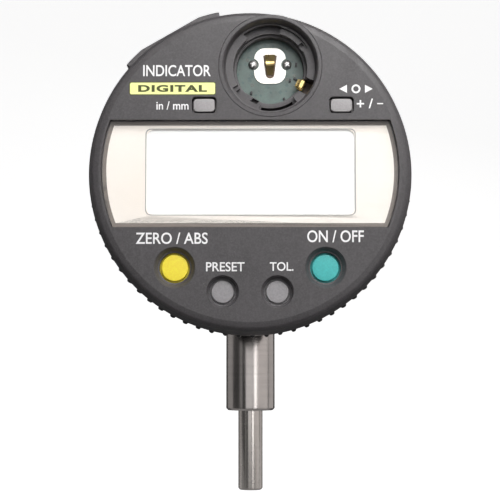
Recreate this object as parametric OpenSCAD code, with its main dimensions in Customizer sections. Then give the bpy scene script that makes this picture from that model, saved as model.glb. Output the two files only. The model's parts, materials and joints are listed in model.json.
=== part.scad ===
// Digital dial indicator: a round display head that turns on a rear case,
// with a spring-loaded measuring spindle sliding in a clamping stem.
//
// Frame: +Z is up along the spindle, the face looks along -Y, and the origin
// is the centre of the stem's lower end. Inside face_frame() x is to the
// right, y is up from the head's axis and z is out of the face, with z = 0 in
// the plane of the spindle.

/* [Display head] */
// Diameter of the head over its plain rim
head_d = 60; // [58:0.5:74]
// Thickness of the head from its back plate to its face
head_thick = 13.3; // [13:0.1:16]
// Radial width of the rounded rim around the flat face
rim_w = 2.3; // [1.5:0.1:3]
// Depth of the rounded rim behind the face
rim_h = 1.8; // [1:0.1:2.4]
// Plain band between the rim and the grip ring
plain_band = 3.0; // [2:0.1:4]
// Wall thickness of the front bezel behind the face
face_wall = 2.2; // [1.8:0.1:2.4]
// Wall thickness of the bezel's side inside the grip ring
side_wall = 1.8; // [1.2:0.1:2.2]
// Thickness of the grip ring
grip_t = 1.8; // [1.2:0.1:2.2]
// Number of ribs around a full turn of the grip ring
rib_count = 72; // [48:1:90]
// Height of a rib
rib_h = 0.43; // [0.2:0.01:0.8]
// Width of a rib
rib_w = 0.9; // [0.4:0.05:1.1]
// Turn of the head each way from upright
head_turn = 165; // [90:1:168]

/* [Window] */
// Gap between the window recess and the edge of the flat face
window_edge = 0.4; // [0.2:0.05:1]
// Top of the window recess above the head's axis
window_top = 9.35; // [8.9:0.05:9.6]
// Bottom of the window recess below the head's axis
window_bottom = 10.4; // [9.8:0.05:11]
// Width of the grey frame around the silver plate
frame_w = 0.85; // [0.5:0.05:1.2]
// Thickness of the window lens
lens_t = 1.0; // [0.6:0.1:1.2]
// Width of the display opening
lcd_w = 38.3; // [32:0.1:39]
// Height of the display opening
lcd_h = 15.7; // [12:0.1:16]

/* [Battery well] */
// Distance of the well's centre in from the edge of the flat face
well_inset = 7.98; // [7.9:0.02:9]
// Direction of the well from the head's axis, anticlockwise from the right
well_angle = 79.1; // [76:0.1:90]
// Outer diameter of the well's lip
lip_d = 19.0; // [18:0.1:19.2]
// Diameter of the well's mouth
mouth_d = 17.28; // [16.6:0.02:17.6]
// Diameter of the cell seat
seat_d = 13.5; // [13:0.1:14]
// Depth of the well from the face to the circuit board
well_depth = 6.25; // [6:0.05:6.8]

/* [Buttons] */
// Diameter of the two large buttons
big_button_d = 4.86; // [4:0.02:5.4]
// Diameter of the two small buttons
small_button_d = 4.1; // [3:0.02:4.2]
// Width of the two rectangular buttons
key_w = 3.8; // [3:0.1:4]
// Height of the two rectangular buttons
key_h = 2.3; // [1.8:0.1:2.4]
// Travel of every button
press = 0.8; // [0.4:0.1:0.9]

/* [Rear case] */
// Diameter of the rear case
rear_d = 57.2; // [56.2:0.2:72]
// Room in the case behind the stem's and the cap's bosses
rear_room = 0.14; // [0.1:0.02:4]
// Wall thickness of the rear case
rear_wall = 2.0; // [1.6:0.1:2.4]
// Thickness of the back cover
cover_t = 2.0; // [1.6:0.1:3]
// Thickness of the lug
lug_t = 6.3; // [5:0.1:8]
// Diameter of the lug's hole
lug_hole_d = 6.5; // [5:0.1:6.6]
// Distance of the lug's hole behind the back cover
lug_reach = 8.8; // [8:0.1:12]

/* [Stem and spindle] */
// Diameter of the clamping stem
stem_d = 9.525; // [8:0.005:11.6]
// Length of the stem outside the case
stem_len = 15.4; // [12:0.1:20]
// Diameter of the spindle
spindle_d = 4.76; // [4:0.02:5.8]
// Travel of the spindle
travel = 12.7; // [8:0.1:15.5]
// Length of the spindle below the stem at rest
spindle_out = 15.5; // [14:0.1:20]
// Tapping diameter of the contact point's thread
contact_hole_d = 2.32; // [1.8:0.02:2.6]

/* [Hidden] */
$fn = 96;

// clearances
run_gap = 0.04;     // radial, between a sliding shaft and its bush
turn_gap = 0.06;    // radial, between the head and its hub
loose = 0.15;       // around a part that drops into a recess
touch = 0.02;       // between a part and the stop it rests on
cut = 1;            // overshoot of a cutting tool past a face

// sizes that grow with the spindle and the stem
spindle_r = spindle_d / 2;
stem_r = stem_d / 2;
stem_neck_r = stem_r - 0.26;
nut_wall = 1.1;
carrier_deep = spindle_r + 0.22;
scale_t = 1;
plate_gap = 0.2;
detector_t = 0.4;
sensor_z = carrier_deep + scale_t + plate_gap + detector_t;
sensor_t = 0.8;
top_hole_r = spindle_r + 0.42;
cap_thread_r = top_hole_r + 1.0;
cap_r = cap_thread_r + 1.2;
top_boss_r = cap_r + 1.0;
stem_boss_r = stem_r + 1.5;

rib_phase = 0.9;

// levels along the head's axis, from the spindle's plane forwards
front_gap = max(stem_neck_r + nut_wall + 0.1, sensor_z + sensor_t + 0.7);
case_front = front_gap + rear_wall;
head_gap = 0.35;
head_back = case_front + head_gap;
plate_t = 1.2;
plate_front = head_back + plate_t;
face_z = head_back + head_thick;
rim_z = face_z - rim_h;
grip_front = rim_z - plain_band;
face_back = face_z - face_wall;
board_t = 1.0;
board_front = face_z - well_depth;
board_back = board_front - board_t;
case_rim = -max(stem_boss_r, top_boss_r) - rear_room;
gasket_t = 0.3;
cover_front = case_rim - gasket_t;
cover_back = cover_front - cover_t;

// radii of the head and the rear case
head_r = head_d / 2;
face_r = head_r - rim_w;
spigot_r = head_r - grip_t;
inner_r = spigot_r - side_wall;
board_r = inner_r - 0.4;
plate_r = head_r - 0.4;
rear_r = rear_d / 2;
cavity_r = rear_r - rear_wall;
boss_reach = rear_r + 0.4;
seal_r = min(rear_r - 0.4, plate_r - 1);
head_z = stem_len + boss_reach;

// hub, retainer and turning stop
hub_r = 12;
hub_hole_r = 5;
washer_t = 0.45;
hub_top = plate_front + 0.05 + washer_t + 0.05;
retainer_r = hub_r + 1.6;
retainer_t = 0.8;
stop_r = 20.5;
stop_pin_r = 0.9;
stop_groove_w = 2.2;
stop_groove_h = 0.7;

// window stack
window_r = face_r - window_edge;
lens_sunk = 0.45;
plate_sheet = 0.25;
recess_floor = face_z - lens_sunk - lens_t - plate_sheet;
plate_z = recess_floor + plate_sheet;
lcd_x = 0.1;
lcd_y = (window_top - window_bottom) / 2 + 0.425;
lcd_corner = 1.5;
glass_margin = 0.95;
glass_w = lcd_w + 2 * glass_margin;
glass_h = lcd_h + 2 * glass_margin - 0.4;
glass_t = 1.8;
glass_z = recess_floor - 0.05 - glass_t;
glass_frame_w = glass_w + 2.8;
glass_frame_h = glass_h + 2.2;
strip_w = 1.4;
strip_y = glass_h / 2 - 0.75;
strip_len = glass_w - 4.2;

// battery well
well_reach = face_r - well_inset;
well_x = well_reach * cos(well_angle);
well_y = well_reach * sin(well_angle);
lip_r = lip_d / 2;
mouth_r = mouth_d / 2;
ledge_z = face_z - 2.0;
ledge_mouth_r = mouth_r - 0.34;
seat_r = seat_d / 2;
bayonet_r = seat_r + 1.25;
bayonet_floor = face_z - 3.6;
bayonet_roof = face_z - 2.7;
floor_ring_r = seat_r - 0.5;
floor_ring_z = board_front + 1.9;
pocket_span = 53;
pocket_start = 75;
ramp_span = 47;
ramp_floor = face_z - 2.6;
notch_span = 6;
pad_angle = 239;
pad_reach = seat_r - 1.45;
plus_angle = -25;
plus_slot_w = 3.2;

// buttons: [direction, inset from the face's edge] for the round ones
zero_at = [232.3, 5.21];
power_at = [307.7, 5.21];
preset_at = [257.3, 4.98];
tolerance_at = [282.7, 4.98];
units_x = -8.4;
sense_x = 16.75;
key_y = window_top + 2.7;
big_dish_r = big_button_d / 2 + 1.38;
small_dish_r = small_button_d / 2 + 0.96;
dish_h = 1.0;
button_gap = 0.26;
key_gap = 0.35;
cap_sunk = 1.2;
key_sunk = 0.25;
flange_over = 0.58;
flange_t = 0.8;
plunger_r = 1.2;
flange_top = face_back - touch;
plunger_z = flange_top - flange_t - 1.2;
mat_t = 0.5;
dome_r = 2.2;

// screws that join the bezel, the board and the back plate
long_post_r = 1.9;
long_post_at = [[31.4, 1.4], [148.6, 1.4], [214.1, 2.9], [325.9, 2.9]];
short_post_r = 1.8;
short_post_at = [[10.5, 1.8], [169.5, 1.8], [192.8, 1.6], [347.2, 1.6]];
head_screw_r = 0.8;
head_screw_top = 1.6;
board_screw_r = 0.6;

// output connector in the head's side, up and to the left
port_angle = 120;
port_span = 38;
port_r = head_r + 0.23;
port_flat = head_r - 0.32;
port_w = 11;
port_h = 4.2;
port_z = board_back - 0.2 - port_h / 2;

// stem, bushes and inside of the rear case, as heights above the origin
stem_chamfer = 0.4;
boss_inner = head_z - boss_reach + 7;
nut_t = 2;
stem_top = boss_inner + nut_t + 2.6;
stem_wall = 1.16;
stem_bore_r = stem_r - stem_wall;
stem_lip = 1.2;
bush_len = 10;
bump_t = 0.6;
carrier_z = stem_top + bump_t + 0.05;
carrier_h = 4;
carrier_left = -spindle_r - 4.22;
carrier_screw_x = spindle_r + 2.22;
scale_x = spindle_r + 4.62;
scale_w = 6;
detector_len = 13;
scale_len = travel + detector_len + 0.3;
scale_low = carrier_z - 5;
pin_r = 0.8;
pin_gap = 0.03;
rail_x = carrier_left - 1.6;
rail_w = 3.8;
spring_wire_r = 0.28;
spring_r = spindle_r + run_gap + 0.3 + spring_wire_r;
spring_turns = 11;
spring_low = carrier_z + carrier_h;
bracket_low = spring_low + travel + 2 * spring_wire_r * (spring_turns + 2) + 5.0;
bracket_h = 6;
spring_high = bracket_low;
upper_bush_r = spindle_r + 1.42;
bracket_screw_x = -upper_bush_r - 2.8;
spindle_top = bracket_low + bracket_h + 1.2;
cap_roof = 1.0;
cap_top = max(head_z + boss_reach + 4, spindle_top + travel + 0.4 + cap_roof);
sensor_x = spindle_r + 0.62;
sensor_w = scale_w + 10;
sensor_mid = scale_low + (scale_len + travel) / 2;
sensor_low = sensor_mid - 12.6;
sensor_screw_x = sensor_x + 14;
sensor_screws = [sensor_mid - 10.6, sensor_mid + 11.4];
cover_screw_r = 1.0;
cover_post_r = 2.3;
cover_post_at = cavity_r - 1.9;

// ---------------------------------------------------------------- helpers

// Places its children in the head's own frame: z out of the face.
module face_frame() {
    translate([0, 0, head_z]) rotate([90, 0, 0]) children();
}

// A disc of radius r between two levels.
module disc(r, low, high) {
    translate([0, 0, low]) cylinder(r = r, h = high - low);
}

// A flat ring between two levels.
module ring(outer, inner, low, high) {
    difference() {
        disc(outer, low, high);
        disc(inner, low - cut, high + cut);
    }
}

// A centred rectangle between two levels.
module slab(w, h, low, high) {
    translate([-w / 2, -h / 2, low]) cube([w, h, high - low]);
}

// A rectangle with round corners, in two dimensions.
module round_rect(w, h, r) {
    square([w - 2 * r, h], center = true);
    square([w, h - 2 * r], center = true);
    for (x = [-1, 1], y = [-1, 1])
        translate([x * (w / 2 - r), y * (h / 2 - r)]) circle(r = r);
}

// A round-cornered block between two levels.
module round_slab(w, h, r, low, high) {
    translate([0, 0, low]) linear_extrude(high - low) round_rect(w, h, r);
}

// Part of a flat ring, from one angle over a span, between two levels.
module ring_sector(outer, inner, start, span, low, high) {
    rotate([0, 0, start]) rotate_extrude(angle = span)
        translate([inner, low]) square([outer - inner, high - low]);
}

// The window outline, shrunk by gap: a disc cut off above and below.
module window_shape(gap) {
    intersection() {
        circle(r = window_r - gap);
        translate([-head_r, gap - window_bottom])
            square([2 * head_r, window_top + window_bottom - 2 * gap]);
    }
}

// Moves children to a direction and a distance in from a radius.
module polar(place, radius) {
    rotate([0, 0, place[0]]) translate([radius - place[1], 0, 0]) rotate([0, 0, -place[0]])
        children();
}

module at_long_posts() {
    for (p = long_post_at) polar(p, inner_r) children();
}

module at_short_posts() {
    for (p = short_post_at) polar(p, inner_r) children();
}

module at_well() {
    translate([well_x, well_y, 0]) children();
}

// Puts children on the head's side, with x along the flat and z outwards.
module at_port() {
    rotate([0, 0, port_angle]) translate([port_flat, 0, port_z]) rotate([0, 90, 0])
        rotate([0, 0, 90]) children();
}

// ------------------------------------------------------------- rear case

module rear_case() {
    color("#2c2a2b") face_frame() difference() {
        union() {
            difference() {
                disc(rear_r, case_rim, case_front);
                disc(cavity_r, case_rim - cut, front_gap);
            }
            disc(hub_r, front_gap, hub_top);
            // bosses for the stem and for the cap
            rotate([90, 0, 0])
                cylinder(r = stem_boss_r, h = boss_reach);
            rotate([-90, 0, 0])
                cylinder(r = top_boss_r, h = boss_reach);
            for (a = [45 : 90 : 315]) rotate([0, 0, a]) translate([cover_post_at, 0, 0])
                disc(cover_post_r, case_rim, front_gap);
        }
        // the bosses stay outside the works
        translate([0, 0, case_rim - cut])
            linear_extrude(front_gap - case_rim + cut) difference() {
                circle(r = cavity_r - 3);
                translate([-head_r, -2 * head_r + boss_inner - head_z])
                    square([2 * head_r, 2 * head_r]);
                translate([-head_r, head_z - boss_inner])
                    square([2 * head_r, 2 * head_r]);
            }
        disc(hub_hole_r, case_rim, hub_top + cut);
        rotate([90, 0, 0]) cylinder(r = stem_neck_r + touch, h = boss_reach + cut);
        rotate([-90, 0, 0]) cylinder(r = top_hole_r, h = boss_reach + cut);
        // thread of the cap
        translate([0, boss_reach - 3, 0]) rotate([-90, 0, 0])
            cylinder(r = cap_thread_r + touch, h = 3 + cut);
        for (a = [45 : 90 : 315]) rotate([0, 0, a]) translate([cover_post_at, 0, 0])
            disc(cover_screw_r - 0.2, case_rim - cut, case_rim + 6);
        for (a = [30 : 120 : 270]) rotate([0, 0, a]) translate([8.6, 0, 0])
            disc(0.8, hub_top - 3, hub_top + cut);
        rotate([0, 0, 270]) translate([stop_r, 0, 0])
            disc(stop_pin_r, case_front - 1.2, case_front + cut);
    }
}

module stem() {
    color("#a49c96") difference() {
        union() {
            cylinder(r1 = stem_r - stem_chamfer, r2 = stem_r, h = stem_chamfer);
            translate([0, 0, stem_chamfer]) cylinder(r = stem_r, h = stem_len - stem_chamfer);
            translate([0, 0, stem_len]) cylinder(r = stem_neck_r, h = stem_top - stem_len);
        }
        translate([0, 0, -cut]) cylinder(r = spindle_r + 0.25, h = stem_lip + 2 * cut);
        translate([0, 0, stem_lip]) cylinder(r = stem_bore_r, h = stem_top);
    }
}

module bush(outer, low, high) {
    difference() {
        disc(outer, low, high);
        disc(spindle_r + run_gap, low - cut, high + cut);
    }
}

module lower_bush() {
    color("#b08d4f") bush(stem_bore_r, stem_lip, stem_lip + bush_len);
}

module stem_nut() {
    color("#8d8b86") difference() {
        translate([0, 0, boss_inner]) cylinder(r = stem_neck_r + nut_wall, h = nut_t);
        translate([0, 0, boss_inner - cut]) cylinder(r = stem_neck_r, h = nut_t + 2 * cut);
        for (x = [-1, 1]) translate([x * (stem_neck_r + nut_wall), 0, boss_inner + nut_t])
            cube([1.4, 1.2, 2], center = true);
    }
}

module bump_washer() {
    color("#1b1b1b") ring(stem_neck_r, spindle_r + 0.25, stem_top, stem_top + bump_t);
}

// A block on the inside of the case's front, in row directions.
module wall_block(x, w, low, high, rear) {
    translate([x, -front_gap, low]) cube([w, front_gap + rear, high - low]);
}

// Screws whose axis runs into the case's front wall.
module wall_hole(x, z, r, near, far) {
    translate([x, -near, z]) rotate([90, 0, 0]) cylinder(r = r, h = far - near);
}

module upper_bracket() {
    color("#9a9a98") difference() {
        wall_block(-upper_bush_r - 5.2, 2 * upper_bush_r + 7.4, bracket_low, bracket_low + bracket_h, upper_bush_r + 0.9);
        translate([0, 0, bracket_low - cut])
            cylinder(r = upper_bush_r, h = bracket_h + 2 * cut);
        for (z = [1.5, 4.5]) {
            wall_hole(bracket_screw_x, bracket_low + z, 0.8, -10, front_gap + cut);
            wall_hole(bracket_screw_x, bracket_low + z, 1.4, -10, 2.2);
        }
    }
}

module upper_bush() {
    color("#b08d4f") bush(upper_bush_r, bracket_low, bracket_low + bracket_h);
}

module bracket_screws() {
    color("#77757a") for (z = [1.5, 4.5]) difference() {
        union() {
            wall_hole(bracket_screw_x, bracket_low + z, 0.8, 2.2, front_gap);
            wall_hole(bracket_screw_x, bracket_low + z, 1.35, 1.2, 2.2);
        }
        translate([bracket_screw_x, -1.2, bracket_low + z]) cube([1.8, 0.8, 0.35], center = true);
    }
}

module guide_rail() {
    slot_low = carrier_z + carrier_h / 2 - pin_r - 0.5;
    color("#9a9a98") difference() {
        wall_block(rail_x - rail_w, rail_w, carrier_z - 2, slot_low + travel + 4, 2.5);
        translate([rail_x - rail_w - cut, -pin_r - pin_gap, slot_low])
            cube([rail_w + 2 * cut, 2 * (pin_r + pin_gap), travel + 2 * pin_r + 1]);
    }
}

module detector_board() {
    color("#2f6b57") difference() {
        translate([sensor_x, -sensor_z - sensor_t, sensor_low])
            cube([sensor_w, sensor_t, 26]);
        for (z = sensor_screws) wall_hole(sensor_screw_x, z, 0.9, 0, front_gap);
    }
}

module detector_plate() {
    color("#7c8f9a") translate([scale_x - 0.5, -sensor_z, sensor_mid - detector_len / 2])
        cube([scale_w + 1, detector_t, detector_len]);
}

module detector_screws() {
    color("#77757a") for (z = sensor_screws) difference() {
        union() {
            wall_hole(sensor_screw_x, z, 0.9, sensor_z, sensor_z + sensor_t);
            wall_hole(sensor_screw_x, z, 1.5, sensor_z - 0.9, sensor_z);
            wall_hole(sensor_screw_x, z, 1.5, sensor_z + sensor_t, front_gap);
        }
        translate([sensor_screw_x, -sensor_z + 0.9, z])
            cube([2, 0.7, 0.4], center = true);
    }
}

module signal_flex() {
    color("#b5762c") face_frame() translate([sensor_x + 0.5, -1.5, sensor_z + sensor_t])
        cube([0.2, 3, hub_top + retainer_t + 0.2 - sensor_z - sensor_t]);
}

module flex_plug() {
    color("#d8d2c4") face_frame()
        disc(hub_hole_r - 0.4, hub_top + retainer_t + 0.2, board_back - 0.6);
}

module top_cap() {
    thread_top = head_z + boss_reach;
    color("#2c2a2b") difference() {
        union() {
            disc(cap_thread_r, thread_top - 3, thread_top);
            disc(cap_r, thread_top, cap_top - 0.8);
            translate([0, 0, cap_top - 0.8]) cylinder(r1 = cap_r, r2 = cap_r - 0.8, h = 0.8);
        }
        disc(top_hole_r, thread_top - 3 - cut, cap_top - cap_roof);
    }
}

module lug_profile() {
    reach = lug_reach + 0.6;
    translate([-lug_hole_d, -reach]) square([2 * lug_hole_d, reach]);
    translate([0, -reach]) circle(r = lug_hole_d);
}

module back_cover() {
    color("#2c2a2b") face_frame() difference() {
        union() {
            disc(rear_r, cover_back, cover_front);
            disc(11, cover_back - 1.2, cover_back);
            // the lug stands out of the back, with its hole across the head
            translate([-lug_t / 2, 0, cover_back + 0.6]) rotate([90, 0, 90])
                linear_extrude(lug_t) lug_profile();
        }
        translate([-lug_t, 0, cover_back - lug_reach])
            rotate([0, 90, 0]) cylinder(r = lug_hole_d / 2, h = 2 * lug_t);
        for (a = [45 : 90 : 315]) rotate([0, 0, a]) translate([cover_post_at, 0, 0]) {
            disc(cover_screw_r + 0.1, cover_back - cut, cover_front + cut);
            disc(2.0, cover_back - cut, cover_back + 1);
        }
    }
}

module back_gasket() {
    color("#1b1b1b") face_frame()
        ring(rear_r - 0.3, cavity_r + 0.3, cover_front, case_rim);
}

module back_screws() {
    color("#3a393b") face_frame() for (a = [45 : 90 : 315])
        rotate([0, 0, a]) translate([cover_post_at, 0, 0]) difference() {
            union() {
                disc(cover_screw_r - 0.2, cover_back + 1, case_rim + 4);
                disc(1.9, cover_back + 0.1, cover_back + 1);
            }
            for (t = [0, 90]) rotate([0, 0, t]) slab(2.2, 0.5, cover_back - cut, cover_back + 0.6);
        }
}

// -------------------------------------------------- bearing of the head

module head_retainer() {
    color("#8d8b86") face_frame() difference() {
        ring(retainer_r, hub_hole_r, hub_top, hub_top + retainer_t);
        for (a = [30 : 120 : 270]) rotate([0, 0, a]) translate([8.6, 0, 0])
            disc(0.8, hub_top - cut, hub_top + retainer_t + cut);
    }
}

module retainer_screws() {
    color("#77757a") face_frame() for (a = [30 : 120 : 270])
        rotate([0, 0, a]) translate([8.6, 0, 0]) difference() {
            union() {
                disc(0.8, hub_top - 2.8, hub_top + retainer_t);
                disc(1.4, hub_top + retainer_t, hub_top + retainer_t + 0.7);
            }
            slab(2, 0.35, hub_top + retainer_t + 0.4, hub_top + retainer_t + 1);
        }
}

module spring_washer() {
    color("#9b9a95") face_frame()
        ring(retainer_r - 0.2, hub_r + 0.2, plate_front + 0.05, plate_front + 0.05 + washer_t);
}

module dust_seal() {
    color("#1b1b1b") face_frame()
        ring(seal_r, seal_r - 1.6, case_front, case_front + head_gap - touch);
}

module stop_pin() {
    color("#9b9a95") face_frame() rotate([0, 0, 270]) translate([stop_r, 0, 0])
        disc(stop_pin_r, case_front - 1.2, head_back + stop_groove_h - 0.15);
}

// --------------------------------------------------------------- spindle

module spindle() {
    chamfer = 0.3;
    color("#b3aca6") difference() {
        union() {
            translate([0, 0, -spindle_out])
                cylinder(r1 = spindle_r - chamfer, r2 = spindle_r, h = chamfer);
            disc(spindle_r, chamfer - spindle_out, spindle_top - chamfer);
            translate([0, 0, spindle_top - chamfer])
                cylinder(r1 = spindle_r, r2 = spindle_r - chamfer, h = chamfer);
        }
        disc(contact_hole_d / 2, -spindle_out - cut, 6.5 - spindle_out);
    }
}

module carrier_block() {
    color("#9a9a98") difference() {
        translate([carrier_left, -carrier_deep, carrier_z])
            cube([scale_x + scale_w - carrier_left, 2 * carrier_deep, carrier_h]);
        disc(spindle_r, carrier_z - cut, carrier_z + carrier_h + cut);
        translate([carrier_left - cut, 0, carrier_z + carrier_h / 2]) rotate([0, 90, 0])
            cylinder(r = pin_r, h = 3.2 + cut);
        translate([carrier_screw_x, carrier_deep + cut, carrier_z + carrier_h / 2]) rotate([90, 0, 0])
            cylinder(r = 0.7, h = 3 + cut);
    }
}

module carrier_screw() {
    color("#77757a") difference() {
        translate([carrier_screw_x, carrier_deep, carrier_z + carrier_h / 2]) rotate([90, 0, 0]) {
            cylinder(r = 0.7, h = 2.8);
            translate([0, 0, -0.8]) cylinder(r = 1.25, h = 0.8);
        }
        translate([carrier_screw_x, carrier_deep + 0.8, carrier_z + carrier_h / 2])
            cube([1.8, 0.7, 0.35], center = true);
    }
}

module guide_pin() {
    color("#c4c1bb") translate([rail_x - rail_w + 0.6, 0, carrier_z + carrier_h / 2])
        rotate([0, 90, 0]) cylinder(r = pin_r, h = rail_w + carrier_left - rail_x + 2.6);
}

module encoder_scale() {
    color("#9fb6bf") translate([scale_x, -carrier_deep - scale_t, scale_low])
        cube([scale_w, scale_t, scale_len]);
}

// Points of one ring of the spring's wire, at turn t of the helix.
function wire_ring(t, sides) = let (
        a = 360 * t,
        low = spring_low + spring_wire_r + touch,
        high = spring_high - spring_wire_r - touch,
        body = max(0, min(1, (t - 1) / (spring_turns - 2))),
        close = 2.2 * spring_wire_r,
        rise = low + close * min(t, 1) + close * max(0, t - spring_turns + 1)
            + body * (high - low - 2 * close)
    ) [for (k = [0 : sides - 1]) let (b = 360 * k / sides, r = spring_r + spring_wire_r * cos(b))
        [r * cos(a), r * sin(a), rise + spring_wire_r * sin(b)]];

module return_spring() {
    sides = 6;
    steps = 14;
    rings = spring_turns * steps;
    points = [for (i = [0 : rings]) each wire_ring(i / steps, sides)];
    walls = [for (i = [0 : rings - 1], k = [0 : sides - 1]) let (m = (k + 1) % sides)
        each [[i * sides + k, (i + 1) * sides + k, i * sides + m],
            [i * sides + m, (i + 1) * sides + k, (i + 1) * sides + m]]];
    caps = [[for (k = [0 : sides - 1]) k], [for (k = [sides - 1 : -1 : 0]) rings * sides + k]];
    color("#8a8a88") polyhedron(points = points, faces = concat(walls, caps));
}

// ---------------------------------------------------------- display head

// Outer outline of the bezel from the face's middle to its back edge.
function rim_arc(n) = [for (i = [0 : n]) let (a = 90 * i / n)
    [face_r + rim_w * sin(a), rim_z + rim_h * cos(a)]];

module bezel_shell() {
    rotate_extrude() polygon(concat(
        [[0, face_back], [0, face_z]],
        rim_arc(10),
        [[head_r, grip_front], [spigot_r, grip_front], [spigot_r, plate_front],
            [inner_r, plate_front], [inner_r, face_back]]));
}

// The thick part of the side that carries the output connector.
module port_boss() {
    intersection() {
        difference() {
            disc(port_r, plate_front, rim_z);
            disc(inner_r, plate_front - cut, rim_z + cut);
        }
        linear_extrude(face_z) polygon([[0, 0],
            for (a = [-port_span / 2, port_span / 2])
                2 * head_r * [cos(port_angle + a), sin(port_angle + a)]]);
    }
}

module port_cuts() {
    rotate([0, 0, port_angle]) translate([port_flat, -head_r, 0])
        cube([head_r, 2 * head_r, face_z + cut]);
    at_port() slab(port_w, port_h, -port_flat + inner_r - 4, cut);
}

// The well's wall stands through the rim, and inside the grip ring behind it.
module well_wall() {
    low = board_front + touch;
    intersection() {
        at_well() disc(lip_r, low, face_z);
        rotate_extrude() polygon([[0, low], [0, face_z + cut], [head_r, face_z + cut],
            [head_r, grip_front], [spigot_r, grip_front], [spigot_r, low]]);
    }
}

module well_cuts() {
    at_well() {
        translate([0, 0, ledge_z])
            cylinder(r1 = ledge_mouth_r, r2 = mouth_r, h = face_z - ledge_z);
        disc(mouth_r, face_z, face_z + cut);
        disc(seat_r, floor_ring_z, face_z);
        // the floor ring widens into a pad with a small slot behind its edge
        difference() {
            disc(floor_ring_r, board_front - cut, face_z);
            rotate([0, 0, pad_angle]) translate([pad_reach, -seat_r, board_front - 2 * cut])
                cube([seat_r, 2 * seat_r, floor_ring_z - board_front + 2 * cut]);
        }
        rotate([0, 0, pad_angle]) translate([pad_reach + 0.15, -1.1, board_front + 0.5])
            cube([0.5, 2.2, well_depth]);
        // two bayonet pockets, each with a hidden channel and an open ramp
        for (s = [0, 180]) rotate([0, 0, s + pocket_start]) {
            ring_sector(bayonet_r, seat_r - 1, 0, pocket_span, bayonet_floor, face_z - 1);
            ring_sector(bayonet_r - 0.1, seat_r - 1.1, pocket_span - 1, 42,
                bayonet_floor + 0.1, bayonet_roof);
            ring_sector(bayonet_r - 0.15, seat_r - 1.2, -ramp_span, ramp_span + 1,
                ramp_floor, face_z - 0.9);
            ring_sector(bayonet_r - 0.4, seat_r - 1.3, 139, notch_span,
                ramp_floor - 0.8, face_z - 0.8);
        }
        rotate([0, 0, plus_angle]) translate([floor_ring_r - 1, -plus_slot_w / 2, board_front - cut])
            cube([bayonet_r + 0.6 - floor_ring_r + 1, plus_slot_w, ledge_z - board_front + 2 * cut]);
    }
}

module round_button_cut(place, button_d, dish_r) {
    polar(place, face_r) {
        disc(button_d / 2 + button_gap, face_back - cut, face_z + cut);
        translate([0, 0, face_z - dish_h]) cylinder(
            r1 = button_d / 2 + button_gap + 0.1, r2 = dish_r, h = dish_h + 0.001);
    }
}

module key_cut(x) {
    translate([x, key_y, 0])
        round_slab(key_w + 2 * key_gap, key_h + 2 * key_gap, 0.7, face_back - cut, face_z + cut);
}

module front_bezel() {
    color("#4b494b") face_frame() difference() {
        union() {
            bezel_shell();
            port_boss();
            well_wall();
            at_long_posts() disc(long_post_r, plate_front, face_back + touch);
            at_short_posts() disc(short_post_r, board_front, face_back + touch);
        }
        port_cuts();
        well_cuts();
        translate([0, 0, recess_floor]) linear_extrude(face_z) window_shape(0);
        translate([lcd_x, lcd_y, 0])
            slab(glass_w + 0.4, glass_h + 0.4, face_back - cut, face_z);
        round_button_cut(zero_at, big_button_d, big_dish_r);
        round_button_cut(power_at, big_button_d, big_dish_r);
        round_button_cut(preset_at, small_button_d, small_dish_r);
        round_button_cut(tolerance_at, small_button_d, small_dish_r);
        key_cut(units_x);
        key_cut(sense_x);
        at_long_posts() disc(head_screw_r, plate_front - cut, plate_front + 5);
        at_short_posts() disc(board_screw_r, board_front - cut, board_front + 3);
    }
}

module grip_ring() {
    gap = port_span / 2 + 0.6;
    pitch = 360 / rib_count;
    color("#1d1c1d") face_frame() translate([0, 0, plate_front])
        linear_extrude(grip_front - plate_front) difference() {
            union() {
                circle(r = head_r);
                for (i = [0 : rib_count - 1]) rotate(rib_phase + i * pitch)
                    translate([head_r + rib_h - rib_w / 2, 0]) circle(r = rib_w / 2);
            }
            circle(r = spigot_r);
            polygon([[0, 0], for (a = [-gap, 0, gap])
                2 * head_r * [cos(port_angle + a), sin(port_angle + a)]]);
        }
}

module window_lens() {
    color("#e8eef0", 0.35) face_frame() translate([0, 0, plate_z])
        linear_extrude(lens_t) window_shape(loose);
}

module window_frame() {
    color("#77736d") face_frame() translate([0, 0, recess_floor])
        linear_extrude(plate_sheet) difference() {
            window_shape(loose);
            window_shape(frame_w);
        }
}

module display_plate() {
    color("#d9d6cf") face_frame() translate([0, 0, recess_floor])
        linear_extrude(plate_sheet) difference() {
            window_shape(frame_w + touch);
            translate([lcd_x, lcd_y]) round_rect(lcd_w, lcd_h, lcd_corner);
        }
}

module lcd_glass() {
    color("#eef0ee") face_frame() translate([lcd_x, lcd_y, 0])
        slab(glass_w, glass_h, glass_z, glass_z + glass_t);
}

module lcd_reflector() {
    color("#f4f4f2") face_frame() translate([lcd_x, lcd_y, 0])
        slab(glass_w, 2 * strip_y - strip_w - 0.8, glass_z - 0.2, glass_z);
}

module lcd_frame() {
    color("#d9d9d4") face_frame() translate([lcd_x, lcd_y, 0]) difference() {
        slab(glass_frame_w, glass_frame_h, board_front, face_back);
        slab(glass_w + 0.1, glass_h + 0.1, glass_z - 0.22, face_back + cut);
        slab(glass_w - 6, 2 * strip_y - strip_w - 2, board_front - cut, glass_z - 1);
        for (s = [-1, 1]) translate([0, s * strip_y, 0])
            slab(strip_len + 0.2, strip_w + 0.1, board_front - cut, glass_z);
    }
}

module contact_strips() {
    color("#c98fa0") face_frame() translate([lcd_x, lcd_y, 0]) for (s = [-1, 1])
        translate([0, s * strip_y, 0]) slab(strip_len, strip_w, board_front, glass_z);
}

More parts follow.
